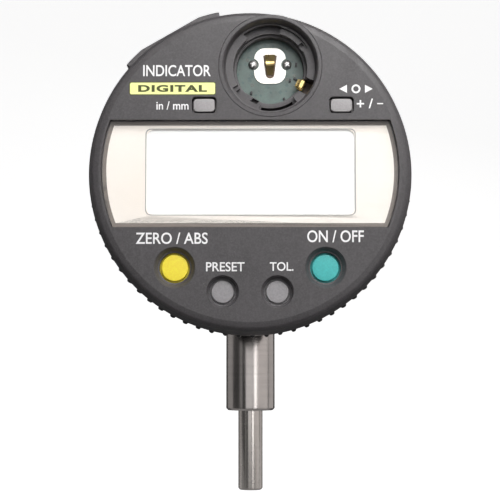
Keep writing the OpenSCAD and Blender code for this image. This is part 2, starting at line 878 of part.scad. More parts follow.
module main_board() {
    color("#5f7f78") face_frame() difference() {
        disc(board_r, board_back, board_front);
        at_long_posts() disc(long_post_r + 0.15, board_back - cut, board_front + cut);
        at_short_posts() disc(board_screw_r + 0.1, board_back - cut, board_front + cut);
        at_well() for (s = [-1, 1]) translate([s * 3.2, 1.5, 0])
            disc(0.5, board_back - cut, board_front + cut);
    }
}

module processor_chip() {
    color("#1e1e20") face_frame() translate([-15.5, -3, 0]) {
        slab(8, 8, board_back - 1.3, board_back - 0.1);
        for (t = [0 : 90 : 270]) rotate([0, 0, t]) for (i = [-3 : 3])
            translate([4.4, i, 0]) slab(1, 0.4, board_back - 0.5, board_back);
    }
}

module board_parts() {
    color("#b7a98c") face_frame() {
        translate([15.5, -5, 0]) slab(6, 2, board_back - 1.6, board_back);
        translate([15.5, 2, 0]) slab(3.2, 1.6, board_back - 0.8, board_back);
        translate([15.5, 6, 0]) slab(3.2, 1.6, board_back - 0.8, board_back);
        for (x = [-6 : 3 : 6]) translate([x, -15.5, 0])
            slab(1.6, 0.8, board_back - 0.6, board_back);
    }
}

module board_screws() {
    color("#77757a") face_frame() at_short_posts() difference() {
        union() {
            disc(board_screw_r, board_back, board_front + 2.8);
            disc(1.2, board_back - 0.8, board_back);
        }
        slab(1.8, 0.35, board_back - cut, board_back - 0.4);
    }
}

module battery_contact_minus() {
    sheet = 0.2;
    plate_w = 5.9;
    plate_h = 6.7;
    slot_w = 2.0;
    crest = 1.35;
    slot_top = 2.05;
    slot_low = -2.2;
    color("#e9e7de") face_frame() at_well() translate([0, 1.25, board_front]) {
        difference() {
            round_slab(plate_w, plate_h, 2.2, 0, sheet);
            translate([-slot_w / 2, slot_low + slot_w / 2, -cut])
                cube([slot_w, slot_top - slot_low - slot_w / 2, sheet + 2 * cut]);
            translate([0, slot_low + slot_w / 2, 0]) disc(slot_w / 2, -cut, sheet + cut);
            for (s = [-1, 1]) translate([s * 3.2, 0.25, 0]) disc(1.15, -cut, sheet + cut);
        }
        // the tongue arches forwards out of the slot
        translate([slot_w / 2 - 0.25, 0, 0]) rotate([0, -90, 0])
            linear_extrude(slot_w - 0.5) polygon([
                [0, slot_top + 0.3], [sheet, slot_top + 0.3], [crest, 0.9], [crest, 0.2],
                [sheet + 0.1, slot_low + 0.4], [0, slot_low + 0.5], [crest - sheet, 0.3],
                [crest - sheet, 0.8]]);
    }
}

module contact_screws() {
    color("#d9d5cc") face_frame() at_well() for (s = [-1, 1])
        translate([s * 3.2, 1.5, 0]) {
            disc(0.5, board_back, board_front);
            disc(0.85, board_front, board_front + 0.35);
            translate([0, 0, board_front + 0.35]) cylinder(r1 = 0.85, r2 = 0.45, h = 0.3);
        }
}

module battery_contact_plus() {
    sheet = 0.25;
    foot = board_front;
    top = ledge_z - 0.6;
    inner = floor_ring_r - 0.5;
    outer = bayonet_r - 0.2;
    color("#c9a24a") face_frame() at_well() rotate([0, 0, plus_angle])
        translate([0, 0.8, 0]) rotate([90, 0, 0]) linear_extrude(1.6) polygon([
            [outer - 1.6, foot], [outer, foot], [outer, top], [inner + 0.9, top],
            [inner, foot + 2.2], [inner + 0.5, foot + 1.0], [inner + 0.7, foot + 1.1],
            [inner + sheet, foot + 2.2], [inner + 1.05, top - sheet],
            [outer - sheet, top - sheet], [outer - sheet, foot + sheet],
            [outer - 1.6, foot + sheet]]);
}

module dome() {
    translate([0, 0, board_front + mat_t])
        cylinder(r1 = dome_r, r2 = plunger_r, h = plunger_z - touch - board_front - mat_t);
}

module key_mat() {
    reach = face_r - zero_at[1];
    color("#3d3f44") face_frame() {
        ring_sector(reach + 2.7, reach - 3.6, 225, 90, board_front, board_front + mat_t);
        for (p = [zero_at, power_at, preset_at, tolerance_at]) polar(p, face_r) dome();
    }
}

module upper_key_pads() {
    color("#3d3f44") face_frame() for (x = [units_x, sense_x]) translate([x, key_y, 0]) {
        slab(5, 2 * dome_r + 0.2, board_front, board_front + mat_t);
        dome();
    }
}

module head_back_plate() {
    span = 2 * (head_turn + asin(stop_pin_r / stop_r) + 0.3);
    color("#2c2a2b") face_frame() difference() {
        ring(plate_r, hub_r + turn_gap, head_back, plate_front);
        at_long_posts() {
            disc(head_screw_r + 0.1, head_back - cut, plate_front + cut);
            disc(head_screw_top, head_back - cut, head_back + 0.7);
        }
        ring_sector(stop_r + stop_groove_w / 2, stop_r - stop_groove_w / 2, 270 - span / 2,
            span, head_back - cut, head_back + stop_groove_h);
    }
}

module head_screws() {
    color("#3a393b") face_frame() at_long_posts() difference() {
        union() {
            disc(head_screw_r, head_back + 0.7, plate_front + 4.5);
            disc(head_screw_top - 0.1, head_back + 0.05, head_back + 0.7);
        }
        for (t = [0, 90]) rotate([0, 0, t]) slab(1.8, 0.4, head_back - cut, head_back + 0.4);
    }
}

module output_connector() {
    low = inner_r - port_flat - 3;
    color("#171717") face_frame() at_port() difference() {
        slab(port_w - 0.4, port_h - 0.3, low, -1.6);
        slab(port_w - 2, port_h - 1.6, low + 1.2, 0);
        for (x = [-2 : 2], y = [-0.5, 0.5]) translate([x * 1.27, y * 1.27, 0])
            slab(0.5, 0.5, low, low + 2);
    }
    color("#c9a24a") face_frame() at_port() for (x = [-2 : 2], y = [-0.5, 0.5])
        translate([x * 1.27, y * 1.27, 0]) slab(0.5, 0.5, low, -2.2);
}

module connector_cap() {
    color("#252425") face_frame() at_port() {
        slab(port_w - 0.3, port_h - 0.3, -1.5, 0.2);
    }
}

// One edge point of the flat spiral, at turn t and offset from its middle.
function coil_point(t, off) = let (r = hub_hole_r - 0.4 + 0.26 + 0.95 * t + off, a = 360 * t)
    [r * cos(a), r * sin(a)];

module flex_coil() {
    turns = 4.5;
    steps = 16;
    n = turns * steps;
    half = 0.1;
    low = hub_top + retainer_t + 0.9;
    color("#b5762c") face_frame() translate([0, 0, low])
        linear_extrude(board_back - 0.3 - low) polygon(concat(
            [for (i = [0 : n]) coil_point(i / steps, -half)],
            [for (i = [n : -1 : 0]) coil_point(i / steps, half)]));
}

// ---------------------------------------------------------------- buttons

module round_button(place, button_d, tint) {
    color(tint) face_frame() polar(place, face_r) {
        disc(button_d / 2, face_back - flange_t, face_z - cap_sunk - 0.2);
        translate([0, 0, face_z - cap_sunk - 0.2])
            cylinder(r1 = button_d / 2, r2 = button_d / 2 - 0.2, h = 0.2);
        disc(button_d / 2 + flange_over, flange_top - flange_t, flange_top);
        disc(plunger_r, plunger_z, face_back);
    }
}

module key_button(x) {
    color("#a5a3a5") face_frame() translate([x, key_y, 0]) {
        round_slab(key_w, key_h, 0.5, face_back - flange_t, face_z - key_sunk);
        slab(key_w + 1.3, key_h + 1.1, flange_top - flange_t, flange_top);
        disc(plunger_r, plunger_z, face_back);
    }
}

module zero_button() round_button(zero_at, big_button_d, "#efdc4a");
module power_button() round_button(power_at, big_button_d, "#4fb3b1");
module preset_button() round_button(preset_at, small_button_d, "#939193");
module tolerance_button() round_button(tolerance_at, small_button_d, "#939193");
module units_button() key_button(units_x);
module sense_button() key_button(sense_x);

rear_case();
stem();
lower_bush();
stem_nut();
bump_washer();
upper_bracket();
upper_bush();
bracket_screws();
guide_rail();
detector_board();
detector_plate();
detector_screws();
signal_flex();
flex_plug();
top_cap();
back_cover();
back_gasket();
back_screws();
head_retainer();
retainer_screws();
spring_washer();
dust_seal();
stop_pin();
return_spring();
spindle();
carrier_block();
carrier_screw();
guide_pin();
encoder_scale();
front_bezel();
grip_ring();
window_lens();
window_frame();
display_plate();
lcd_glass();
lcd_reflector();
lcd_frame();
contact_strips();
main_board();
processor_chip();
board_parts();
board_screws();
battery_contact_minus();
contact_screws();
battery_contact_plus();
key_mat();
upper_key_pads();
head_back_plate();
head_screws();
output_connector();
connector_cap();
flex_coil();
zero_button();
power_button();
preset_button();
tolerance_button();
units_button();
sense_button();
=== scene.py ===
"""Looks of a digital dial indicator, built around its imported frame.

Lengths are in millimetres until a mesh is placed, and metres after that.
Most pieces are drawn in the head's own axes: x to the right, y up from the
head's centre, z out of the face, with z = 0 in the spindle's plane.
"""
from __future__ import annotations

import json
import logging
import math
from dataclasses import dataclass, field
from enum import Enum
from typing import Callable, Iterable, Sequence

import bmesh
import bpy
from mathutils import Matrix, Vector


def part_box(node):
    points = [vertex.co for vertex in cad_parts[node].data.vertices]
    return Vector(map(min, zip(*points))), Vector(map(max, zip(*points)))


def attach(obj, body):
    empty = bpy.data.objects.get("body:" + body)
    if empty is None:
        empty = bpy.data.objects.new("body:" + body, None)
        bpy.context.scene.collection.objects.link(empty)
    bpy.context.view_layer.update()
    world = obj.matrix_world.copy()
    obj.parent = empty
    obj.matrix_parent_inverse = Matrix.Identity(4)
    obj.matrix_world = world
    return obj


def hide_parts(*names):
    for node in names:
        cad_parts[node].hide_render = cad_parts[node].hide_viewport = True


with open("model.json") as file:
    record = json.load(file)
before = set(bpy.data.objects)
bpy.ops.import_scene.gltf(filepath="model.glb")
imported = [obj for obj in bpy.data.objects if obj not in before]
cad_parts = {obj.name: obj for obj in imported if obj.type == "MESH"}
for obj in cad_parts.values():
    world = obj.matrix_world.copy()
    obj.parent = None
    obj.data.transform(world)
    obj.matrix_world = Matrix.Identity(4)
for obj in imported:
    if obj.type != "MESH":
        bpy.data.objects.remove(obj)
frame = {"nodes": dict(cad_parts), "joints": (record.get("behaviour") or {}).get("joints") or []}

LOG = logging.getLogger("dial_indicator")
MM = 0.001
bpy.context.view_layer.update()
HEAD_AXIS = next(j for j in frame["joints"] if j["name"] == "head_turn")["pos_m"][2] / MM

Point2 = tuple[float, float]
Corner = tuple[float, float, float]
Point3 = tuple[float, float, float]
Colour = tuple[float, float, float]
Mesh = bpy.types.Mesh
Socket = bpy.types.NodeSocket


class Place(Enum):
    """Which axes a mesh is drawn in before it is placed."""

    FACE = Matrix.Translation((0, 0, HEAD_AXIS)) @ Matrix.Rotation(math.pi / 2, 4, "X")
    ROW = Matrix.Identity(4)


class Rides(Enum):
    """The moving bodies that pieces ride on."""

    CASE = "case"
    SPINDLE = "measuring_spindle"
    HEAD = "display_head"
    PORT = "port_cover"
    ZERO = "zero_button_body"
    POWER = "power_button_body"
    PRESET = "preset_button_body"
    TOLERANCE = "tolerance_button_body"
    UNITS = "units_button_body"
    SENSE = "sense_button_body"


class Cut(Enum):
    """How one mesh acts on another."""

    JOIN = "UNION"
    TAKE = "DIFFERENCE"
    KEEP = "INTERSECT"


Step = tuple[Cut, Mesh]


# ------------------------------------------------------------------ levels


def level(node: str, high: bool) -> float:
    """Distance of a node's front or back in front of the spindle's plane.

    Args:
        node: Name of the node.
        high: True for its front, False for its back.

    Returns:
        The level in millimetres, positive towards the face.
    """
    low_corner, high_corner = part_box(node)
    return (-low_corner.y if high else -high_corner.y) / MM


FACE = level("front_bezel", True)
BOARD = level("main_board", True)
BOARD_BACK = level("main_board", False)
PLATE_FRONT = level("head_back_plate", True)
PLATE_BACK = level("head_back_plate", False)
CASE_FRONT = level("dust_seal", False)
CASE_RIM = level("back_gasket", True)
COVER_FRONT = level("back_gasket", False)
GRIP_FRONT = level("grip_ring", True)


# --------------------------------------------------------------- outlines


def polar(angle: float, radius: float) -> Point2:
    """A point at an angle in degrees and a radius."""
    a = math.radians(angle)
    return radius * math.cos(a), radius * math.sin(a)


def arc(centre: Point2, radius: float, start: float, end: float, steps: int) -> list[Point2]:
    """Points along an arc.

    Args:
        centre: Centre of the arc.
        radius: Its radius.
        start: First angle in degrees.
        end: Last angle in degrees.
        steps: Number of equal steps.

    Returns:
        The points, both ends included.
    """
    turns = (start + (end - start) * i / steps for i in range(steps + 1))
    return [(centre[0] + x, centre[1] + y) for x, y in (polar(a, radius) for a in turns)]


def rounded(corners: Sequence[Corner], closed: bool = True, steps: int = 4) -> list[Point2]:
    """Rounds the corners of an outline.

    Args:
        corners: Each corner's two coordinates and its fillet radius.
        closed: Whether the last corner joins the first.
        steps: Steps in each fillet.

    Returns:
        The outline's points.
    """
    points: list[Point2] = []
    count = len(corners)
    for i, (x, y, radius) in enumerate(corners):
        here = Vector((x, y))
        if radius <= 0 or (not closed and i in (0, count - 1)):
            points.append((x, y))
            continue
        before = Vector(corners[i - 1][:2]) - here
        after = Vector(corners[(i + 1) % count][:2]) - here
        half = before.angle(after) / 2
        reach = min(radius / math.tan(half), 0.49 * before.length, 0.49 * after.length)
        bend = reach * math.tan(half)
        middle = here + (before.normalized() + after.normalized()).normalized() * (bend / math.sin(half))
        first = here + before.normalized() * reach - middle
        last = here + after.normalized() * reach - middle
        sweep = first.angle_signed(last)
        for k in range(steps + 1):
            spoke = first.copy()
            spoke.rotate(Matrix.Rotation(-sweep * k / steps, 2))
            points.append(tuple(middle + spoke))
    return points


def rectangle(width: float, height: float, radius: float, at: Point2 = (0, 0)) -> list[Point2]:
    """A rectangle with round corners, anticlockwise."""
    w, h = width / 2, height / 2
    return rounded([(at[0] + sx * w, at[1] + sy * h, radius)
                    for sx, sy in ((-1, -1), (1, -1), (1, 1), (-1, 1))], steps=6)


def circle(radius: float, steps: int, at: Point2 = (0, 0)) -> list[Point2]:
    """A circle's points, anticlockwise."""
    return arc(at, radius, 0, 360, steps)[:-1]


# ----------------------------------------------------------------- meshes


def mesh_from(bm: bmesh.types.BMesh, name: str) -> Mesh:
    """Turns a bmesh into a mesh with outward normals and merged doubles."""
    bmesh.ops.remove_doubles(bm, verts=bm.verts, dist=1e-5)
    bmesh.ops.recalc_face_normals(bm, faces=bm.faces)
    mesh = bpy.data.meshes.new(name)
    bm.to_mesh(mesh)
    bm.free()
    return mesh


def turned(name: str, profile: Sequence[Point2], steps: int = 96,
           at: Point2 = (0, 0)) -> Mesh:
    """A solid of revolution about a line parallel to z.

    Args:
        name: Name of the mesh.
        profile: Closed outline as radius and height.
        steps: Steps round the full turn.
        at: Where the axis stands.

    Returns:
        The closed mesh.
    """
    bm = bmesh.new()
    rings: list[list[bmesh.types.BMVert]] = []
    for r, z in profile:
        if r < 1e-6:
            rings.append([bm.verts.new((at[0], at[1], z))])
        else:
            rings.append([bm.verts.new((x, y, z)) for x, y in circle(r, steps, at)])
    for a, b in zip(rings, rings[1:] + rings[:1]):
        for i in range(steps):
            j = (i + 1) % steps
            corners = [a[i % len(a)], a[j % len(a)], b[j % len(b)], b[i % len(b)]]
            unique = list(dict.fromkeys(corners))
            if len(unique) > 2:
                bm.faces.new(unique)
    return mesh_from(bm, name)


def prism(name: str, outline: Sequence[Point2], low: float, high: float,
          edge: float = 0.0) -> Mesh:
    """An outline pulled up between two levels.

    Args:
        name: Name of the mesh.
        outline: The outline's points.
        low: Level of its bottom.
        high: Level of its top.
        edge: Width of a round on the top edge, or 0.

    Returns:
        The closed mesh.
    """
    bm = bmesh.new()
    base = [bm.verts.new((x, y, low)) for x, y in outline]
    top = [bm.verts.new((x, y, high)) for x, y in outline]
    bm.faces.new(base[::-1])
    lid = bm.faces.new(top)
    for i in range(len(base)):
        j = (i + 1) % len(base)
        bm.faces.new((base[i], base[j], top[j], top[i]))
    if edge:
        bmesh.ops.bevel(bm, geom=list(lid.edges), offset=edge, segments=3, profile=0.5,
                        affect="EDGES", clamp_overlap=True)
    return mesh_from(bm, name)


def block(name: str, low: Sequence[float], high: Sequence[float],
          edge: float = 0.0) -> Mesh:
    """A box between two corners, with its edges rounded by edge."""
    bm = bmesh.new()
    bmesh.ops.create_cube(bm, size=1)
    for v in bm.verts:
        v.co = Vector([l + (c + 0.5) * (h - l) for c, l, h in zip(v.co, low, high)])
    if edge:
        bmesh.ops.bevel(bm, geom=list(bm.edges), offset=edge, segments=3, profile=0.5,
                        affect="EDGES", clamp_overlap=True)
    return mesh_from(bm, name)


def moved(mesh: Mesh, matrix: Matrix) -> Mesh:
    """Moves a mesh's own points and returns it."""
    mesh.transform(matrix)
    if matrix.determinant() < 0:
        mesh.flip_normals()
    return mesh


def set_at(at: Point2, angle: float) -> Matrix:
    """A turn about z by an angle in degrees, and then a move to a place on the face."""
    return Matrix.Translation((*at, 0)) @ Matrix.Rotation(math.radians(angle), 4, "Z")


def lying(mesh: Mesh, upwards: bool) -> Mesh:
    """Turns a mesh drawn along z so that it runs up or down the face."""
    return moved(mesh, Matrix.Rotation(-math.pi / 2 if upwards else math.pi / 2, 4, "X"))


def scene_object(mesh: Mesh) -> bpy.types.Object:
    """Links an object for a mesh and returns it."""
    made = bpy.data.objects.new(mesh.name, mesh)
    bpy.context.scene.collection.objects.link(made)
    return made


def baked(made: bpy.types.Object) -> Mesh:
    """The evaluated mesh of an object, which is then removed."""
    shown = made.evaluated_get(bpy.context.evaluated_depsgraph_get())
    mesh = bpy.data.meshes.new_from_object(shown)
    mesh.name = made.name
    bpy.data.objects.remove(made)
    return mesh


def carved(base: Mesh, steps: Iterable[Step]) -> Mesh:
    """Joins meshes to a base, and takes others from it, one after another.

    Args:
        base: The mesh to start from.
        steps: What to do, and with which mesh.

    Returns:
        The finished mesh.
    """
    work = scene_object(base)
    others = []
    for how, mesh in steps:
        other = scene_object(mesh)
        others.append(other)
        change = work.modifiers.new(how.name, "BOOLEAN")
        change.operation = how.value
        change.solver = "EXACT"
        change.object = other
    mesh = baked(work)
    for other in others:
        bpy.data.objects.remove(other)
    bm = bmesh.new()
    bm.from_mesh(mesh)
    bmesh.ops.remove_doubles(bm, verts=bm.verts, dist=2e-4)
    bmesh.ops.dissolve_degenerate(bm, edges=bm.edges, dist=1e-4)
    bm.to_mesh(mesh)
    bm.free()
    return mesh


def takes(*meshes: Mesh) -> list[Step]:
    """The steps that take each of these meshes away."""
    return [(Cut.TAKE, mesh) for mesh in meshes]


def strip(name: str, rows: Sequence[Sequence[Point3]]) -> Mesh:
    """A closed bar of sheet metal, skinned over rows of four points each."""
    bm = bmesh.new()
    skin = [[bm.verts.new(point) for point in row] for row in rows]
    for a, b in zip(skin, skin[1:]):
        for k in range(4):
            m = (k + 1) % 4
            bm.faces.new((a[k], a[m], b[m], b[k]))
    bm.faces.new(skin[0])
    bm.faces.new(skin[-1][::-1])
    return mesh_from(bm, name)


def joined(name: str, parts: Sequence[Mesh]) -> Mesh:
    """Puts several closed meshes into one."""
    bm = bmesh.new()
    for part in parts:
        bm.from_mesh(part)
    mesh = bpy.data.meshes.new(name)
    bm.to_mesh(mesh)
    bm.free()
    return mesh


def lettered(text: str, at: Point2, width: float, height: float, low: float,
             bold: float = 0.0, gap: float = 1.0) -> Mesh:
    """A generic word as thin raised ink.

    Args:
        text: The word.
        at: Its centre.
        width: Its full width.
        height: Height of its capitals.
        low: Level of the surface that it lies on.
        bold: How far the strokes are fattened, as a share of the letter's size.
        gap: Letter spacing.

    Returns:
        The closed mesh.
    """
    curve = bpy.data.curves.new("ink", "FONT")
    curve.body = text
    curve.resolution_u = 5
    curve.offset = bold
    curve.space_character = gap
    curve.extrude = 0.5
    made = bpy.data.objects.new("ink", curve)
    bpy.context.scene.collection.objects.link(made)
    mesh = baked(made)
    lows = [min(v.co[k] for v in mesh.vertices) for k in range(3)]
    highs = [max(v.co[k] for v in mesh.vertices) for k in range(3)]
    spans = [h - l for l, h in zip(lows, highs)]
    middle = Vector([(l + h) / 2 for l, h in zip(lows, highs)])
    scale = Matrix.Diagonal((width / spans[0], height / spans[1], 0.02 / spans[2], 1))
    place = Matrix.Translation((at[0], at[1], low + 0.01))
    moved(mesh, place @ scale @ Matrix.Translation(-middle))
    bm = bmesh.new()
    bm.from_mesh(mesh)
    return mesh_from(bm, "ink")


# --------------------------------------------------------- geometry nodes


def add_node(tree: bpy.types.NodeTree, kind: str, inputs: dict[str | int, object] | None,
             settings: dict[str, object]) -> bpy.types.Node:
    """Adds a node to a tree.

    Args:
        tree: The tree.
        kind: The node's type.
        inputs: Values or sockets for its inputs, by name or by number.
        settings: Its own properties.

    Returns:
        The node.
    """
    made = tree.nodes.new(kind)
    for label, value in settings.items():
        setattr(made, label, value)
    for key, value in (inputs or {}).items():
        if isinstance(value, Socket):
            tree.links.new(value, made.inputs[key])
        else:
            made.inputs[key].default_value = value
    return made


class Recipe:
    """A Geometry Nodes tree that is built step by step."""

    def __init__(self, name: str, inputs: dict[str, str]) -> None:
        """Makes the tree with its named inputs.

        Args:
            name: Name of the tree.
            inputs: Each input's name and socket type.
        """
        self.tree = bpy.data.node_groups.new(name, "GeometryNodeTree")
        face = self.tree.interface
        face.new_socket("Geometry", in_out="INPUT", socket_type="NodeSocketGeometry")
        for label, kind in inputs.items():
            face.new_socket(label, in_out="INPUT", socket_type=kind)
        face.new_socket("Geometry", in_out="OUTPUT", socket_type="NodeSocketGeometry")
        self.given = self.tree.nodes.new("NodeGroupInput")

    def node(self, kind: str, inputs: dict[str | int, object] | None = None,
             **settings: object) -> bpy.types.Node:
        """Adds a node, with values or sockets for its inputs."""
        return add_node(self.tree, kind, inputs, settings)

    def sum(self, operation: str, *values: object) -> Socket:
        """The result of one arithmetic step."""
        return self.node("ShaderNodeMath", dict(enumerate(values)), operation=operation).outputs[0]

    def finish(self, geometry: Socket, material: Socket) -> None:
        """Ends the tree: everything made real, with its material set."""
        real = self.node("GeometryNodeRealizeInstances", {"Geometry": geometry})
        dressed = self.node("GeometryNodeSetMaterial",
                            {"Geometry": real.outputs[0], "Material": material})
        end = self.tree.nodes.new("NodeGroupOutput")
        self.tree.links.new(dressed.outputs[0], end.inputs[0])

    def run(self, base: Mesh, values: dict[str, object]) -> Mesh:
        """Runs the tree on a mesh.

        Args:
            base: The mesh that goes in.
            values: Value of each named input.

        Returns:
            The plain mesh that comes out.
        """
        work = scene_object(base)
        change = work.modifiers.new("made", "NODES")
        change.node_group = self.tree
        for item in self.tree.interface.items_tree:
            if item.in_out == "INPUT" and item.name in values:
                change[item.identifier] = values[item.name]
        return baked(work)


def round_the_rim() -> Recipe:
    """The recipe that sets copies of one object round a circle, leaving a gap.

    Returns:
        The recipe, whose inputs are Count, Radius, Phase, Gap middle, Gap half, Copy and Material.
    """
    recipe = Recipe("copies_round_a_rim", {
        "Count": "NodeSocketInt", "Radius": "NodeSocketFloat", "Phase": "NodeSocketFloat",
        "Gap middle": "NodeSocketFloat", "Gap half": "NodeSocketFloat",
        "Copy": "NodeSocketObject", "Material": "NodeSocketMaterial"})
    given = recipe.given.outputs
    ring = recipe.node("GeometryNodeMeshCircle", {"Vertices": given["Count"], "Radius": given["Radius"]})
    spin = recipe.node("ShaderNodeCombineXYZ", {"Z": given["Phase"]})
    turned_ring = recipe.node("GeometryNodeTransform",
                              {"Geometry": ring.outputs[0], "Rotation": spin.outputs[0]})
    place = recipe.node("GeometryNodeInputPosition")
    parts = recipe.node("ShaderNodeSeparateXYZ", {"Vector": place.outputs[0]})
    angle = recipe.sum("ARCTAN2", parts.outputs[1], parts.outputs[0])
    off = recipe.sum("SUBTRACT", angle, given["Gap middle"])
    size = recipe.sum("ABSOLUTE", recipe.sum("WRAP", off, math.pi, -math.pi))
    keep = recipe.sum("GREATER_THAN", size, given["Gap half"])
    copy = recipe.node("GeometryNodeObjectInfo", {"Object": given["Copy"]})
    turn = recipe.node("ShaderNodeCombineXYZ", {"Z": angle})
    copies = recipe.node("GeometryNodeInstanceOnPoints", {
        "Points": turned_ring.outputs[0], "Selection": keep,
        "Instance": copy.outputs["Geometry"], "Rotation": turn.outputs[0]})
    both = recipe.node("GeometryNodeJoinGeometry")
    recipe.tree.links.new(copies.outputs[0], both.inputs[0])
    recipe.tree.links.new(given["Geometry"], both.inputs[0])
    recipe.finish(both.outputs[0], given["Material"])
    return recipe


def on_each_point() -> Recipe:
    """The recipe that sets one object on every point of a mesh, each turned a little.

    Returns:
        The recipe, whose inputs are Copy, Turn, Seed and Material.
    """
    recipe = Recipe("copies_on_points", {
        "Copy": "NodeSocketObject", "Turn": "NodeSocketFloat", "Seed": "NodeSocketInt",
        "Material": "NodeSocketMaterial"})
    given = recipe.given.outputs
    chance = recipe.node("FunctionNodeRandomValue", {"Seed": given["Seed"]}, data_type="FLOAT")
    turn = recipe.sum("MULTIPLY", chance.outputs[1], given["Turn"])
    spin = recipe.node("ShaderNodeCombineXYZ", {"Z": turn})
    copy = recipe.node("GeometryNodeObjectInfo", {"Object": given["Copy"]})
    copies = recipe.node("GeometryNodeInstanceOnPoints", {
        "Points": given["Geometry"], "Instance": copy.outputs["Geometry"],
        "Rotation": spin.outputs[0]})
    recipe.finish(copies.outputs[0], given["Material"])
    return recipe


def copies_at(name: str, copy: Mesh, places: Sequence[Sequence[float]],
              material: bpy.types.Material, turn: float, seed: int) -> Mesh:
    """Sets one mesh on each of a list of places.

    Args:
        name: Name of the result.
        copy: The mesh to repeat.
        places: Where each copy goes.
        material: Its material.
        turn: Largest turn of a copy about its own axis, in radians.
        seed: Seed of the turns.

    Returns:
        The plain mesh.
    """
    points = bpy.data.meshes.new(name)
    points.from_pydata([tuple(p) for p in places], [], [])
    model = scene_object(copy)
    mesh = on_each_point().run(points, {"Copy": model, "Turn": turn, "Seed": seed, "Material": material})
    bpy.data.objects.remove(model)
    mesh.name = name
    return mesh


# --------------------------------------------------------------- finishes


class Shader:
    """A material's node tree, built step by step on the piece's own coordinates."""

    def __init__(self, name: str) -> None:
        """Starts a material with one Principled shader."""
        self.material = bpy.data.materials.new(name)
        self.material.use_nodes = True
        self.tree = self.material.node_tree
        self.surface = self.tree.nodes["Principled BSDF"]
        self.where = self.tree.nodes.new("ShaderNodeTexCoord").outputs["Object"]

    def node(self, kind: str, inputs: dict[str | int, object] | None = None,
             **settings: object) -> bpy.types.Node:
        """Adds a node, with values or sockets for its inputs."""
        return add_node(self.tree, kind, inputs, settings)

    def put(self, value: object, socket: Socket) -> None:
        """Links a socket's value, or sets it, giving a colour its alpha."""
        if isinstance(value, Socket):
            self.tree.links.new(value, socket)
        else:
            socket.default_value = (*value, 1) if isinstance(value, tuple) and len(value) == 3 else value

    def noise(self, scale: float, detail: float = 2.0, stretch: Colour = (1, 1, 1),
              rough: float = 0.5) -> Socket:
        """Noise at a scale per metre, stretched along the axes."""
        held = self.node("ShaderNodeMapping", {"Vector": self.where, "Scale": stretch})
        made = self.node("ShaderNodeTexNoise", {
            "Vector": held.outputs[0], "Scale": scale, "Detail": detail, "Roughness": rough})
        return made.outputs["Fac"]

    def ramp(self, value: Socket, low: float, high: float, out_low: float,
             out_high: float) -> Socket:
        """Maps one range of a value to another, clamped."""
        made = self.node("ShaderNodeMapRange", {
            "Value": value, "From Min": low, "From Max": high, "To Min": out_low, "To Max": out_high})
        return made.outputs[0]

    def mix(self, share: Socket, first: object, second: object) -> Socket:
        """Mixes two colours by a share."""
        made = self.node("ShaderNodeMix", data_type="RGBA")
        self.tree.links.new(share, made.inputs["Factor"])
        self.put(first, made.inputs[6])
        self.put(second, made.inputs[7])
        return made.outputs[2]

    def set(self, **values: object) -> None:
        """Sets or links the Principled shader's inputs; an underscore stands for a space."""
        for label, value in values.items():
            self.put(value, self.surface.inputs[label.replace("_", " ")])

    def bumps(self, *heights: tuple[Socket, float]) -> None:
        """Gives the surface a relief from heights, each with its depth in metres."""
        normal: Socket | None = None
        for height, depth in heights:
            made = self.node("ShaderNodeBump", {"Height": height, "Strength": 1.0, "Distance": depth})
            if normal:
                self.tree.links.new(normal, made.inputs["Normal"])
            normal = made.outputs[0]
        if normal:
            self.tree.links.new(normal, self.surface.inputs["Normal"])


def shade(colour: Colour, by: float) -> Colour:
    """A colour made lighter or darker by a factor."""
    return tuple(min(1.0, c * by) for c in colour)


@dataclass(frozen=True)
class Moulded:
    """Moulded plastic: a fine spark grain, faint clouding, specks and handling marks."""

    name: str
    colour: Colour
    rough: float = 0.5
    grain: float = 3400.0
    depth: float = 6e-6
    wear: float = 0.25
    clouding: float = 0.1

    def make(self) -> bpy.types.Material:
        """Builds the material."""
        s = Shader(self.name)
        grain = s.noise(self.grain, 3)
        cloud = s.noise(90, 4)
        marks = s.noise(420, 3, (1, 1, 0.12), 0.62)
        specks = s.noise(2600, 1)
        blotch = s.noise(750, 4, rough=0.7)
        base = s.mix(s.ramp(cloud, 0.3, 0.7, 0, 1), shade(self.colour, 1 - self.clouding),
                     shade(self.colour, 1 + self.clouding))
        base = s.mix(s.ramp(blotch, 0.45, 0.7, 0, self.clouding * 2.5), base, shade(self.colour, 1.6))
        base = s.mix(s.ramp(grain, 0.4, 0.64, 0, 6 * self.clouding), base, shade(self.colour, 1.5))
        base = s.mix(s.ramp(specks, 0.735, 0.78, 0, self.wear), base, shade(self.colour, 3.2))
        base = s.mix(s.ramp(marks, 0.62, 0.74, 0, self.wear), base, shade(self.colour, 1.9))
        s.set(Base_Color=base, Roughness=s.ramp(marks, 0.3, 0.75, self.rough + 0.06, self.rough - 0.08))
        s.set(Specular_IOR_Level=0.45)
        s.bumps((cloud, self.depth * 3), (grain, self.depth))
        return s.material


@dataclass(frozen=True)
class Machined:
    """Turned or ground metal: fine rings round the spindle's axis and soft handling marks."""

    name: str
    colour: Colour
    rough: float = 0.24
    rings: float = 2400.0
    depth: float = 7e-7
    stretch: Colour = (0.02, 0.02, 1.0)
    stain: float = 0.12

    def make(self) -> bpy.types.Material:
        """Builds the material."""
        s = Shader(self.name)
        rings = s.noise(self.rings, 3, self.stretch)
        cloud = s.noise(160, 4)
        smears = s.noise(500, 3, (1, 1, 0.2))
        base = s.mix(s.ramp(cloud, 0.35, 0.7, 0, 1), shade(self.colour, 1 - self.stain), self.colour)
        base = s.mix(s.ramp(rings, 0.35, 0.65, 0, 0.35), base, shade(self.colour, 1.12))
        s.set(Base_Color=base, Metallic=1.0,
              Roughness=s.ramp(smears, 0.3, 0.7, self.rough - 0.04, self.rough + 0.07))
        s.bumps((rings, self.depth))
        return s.material


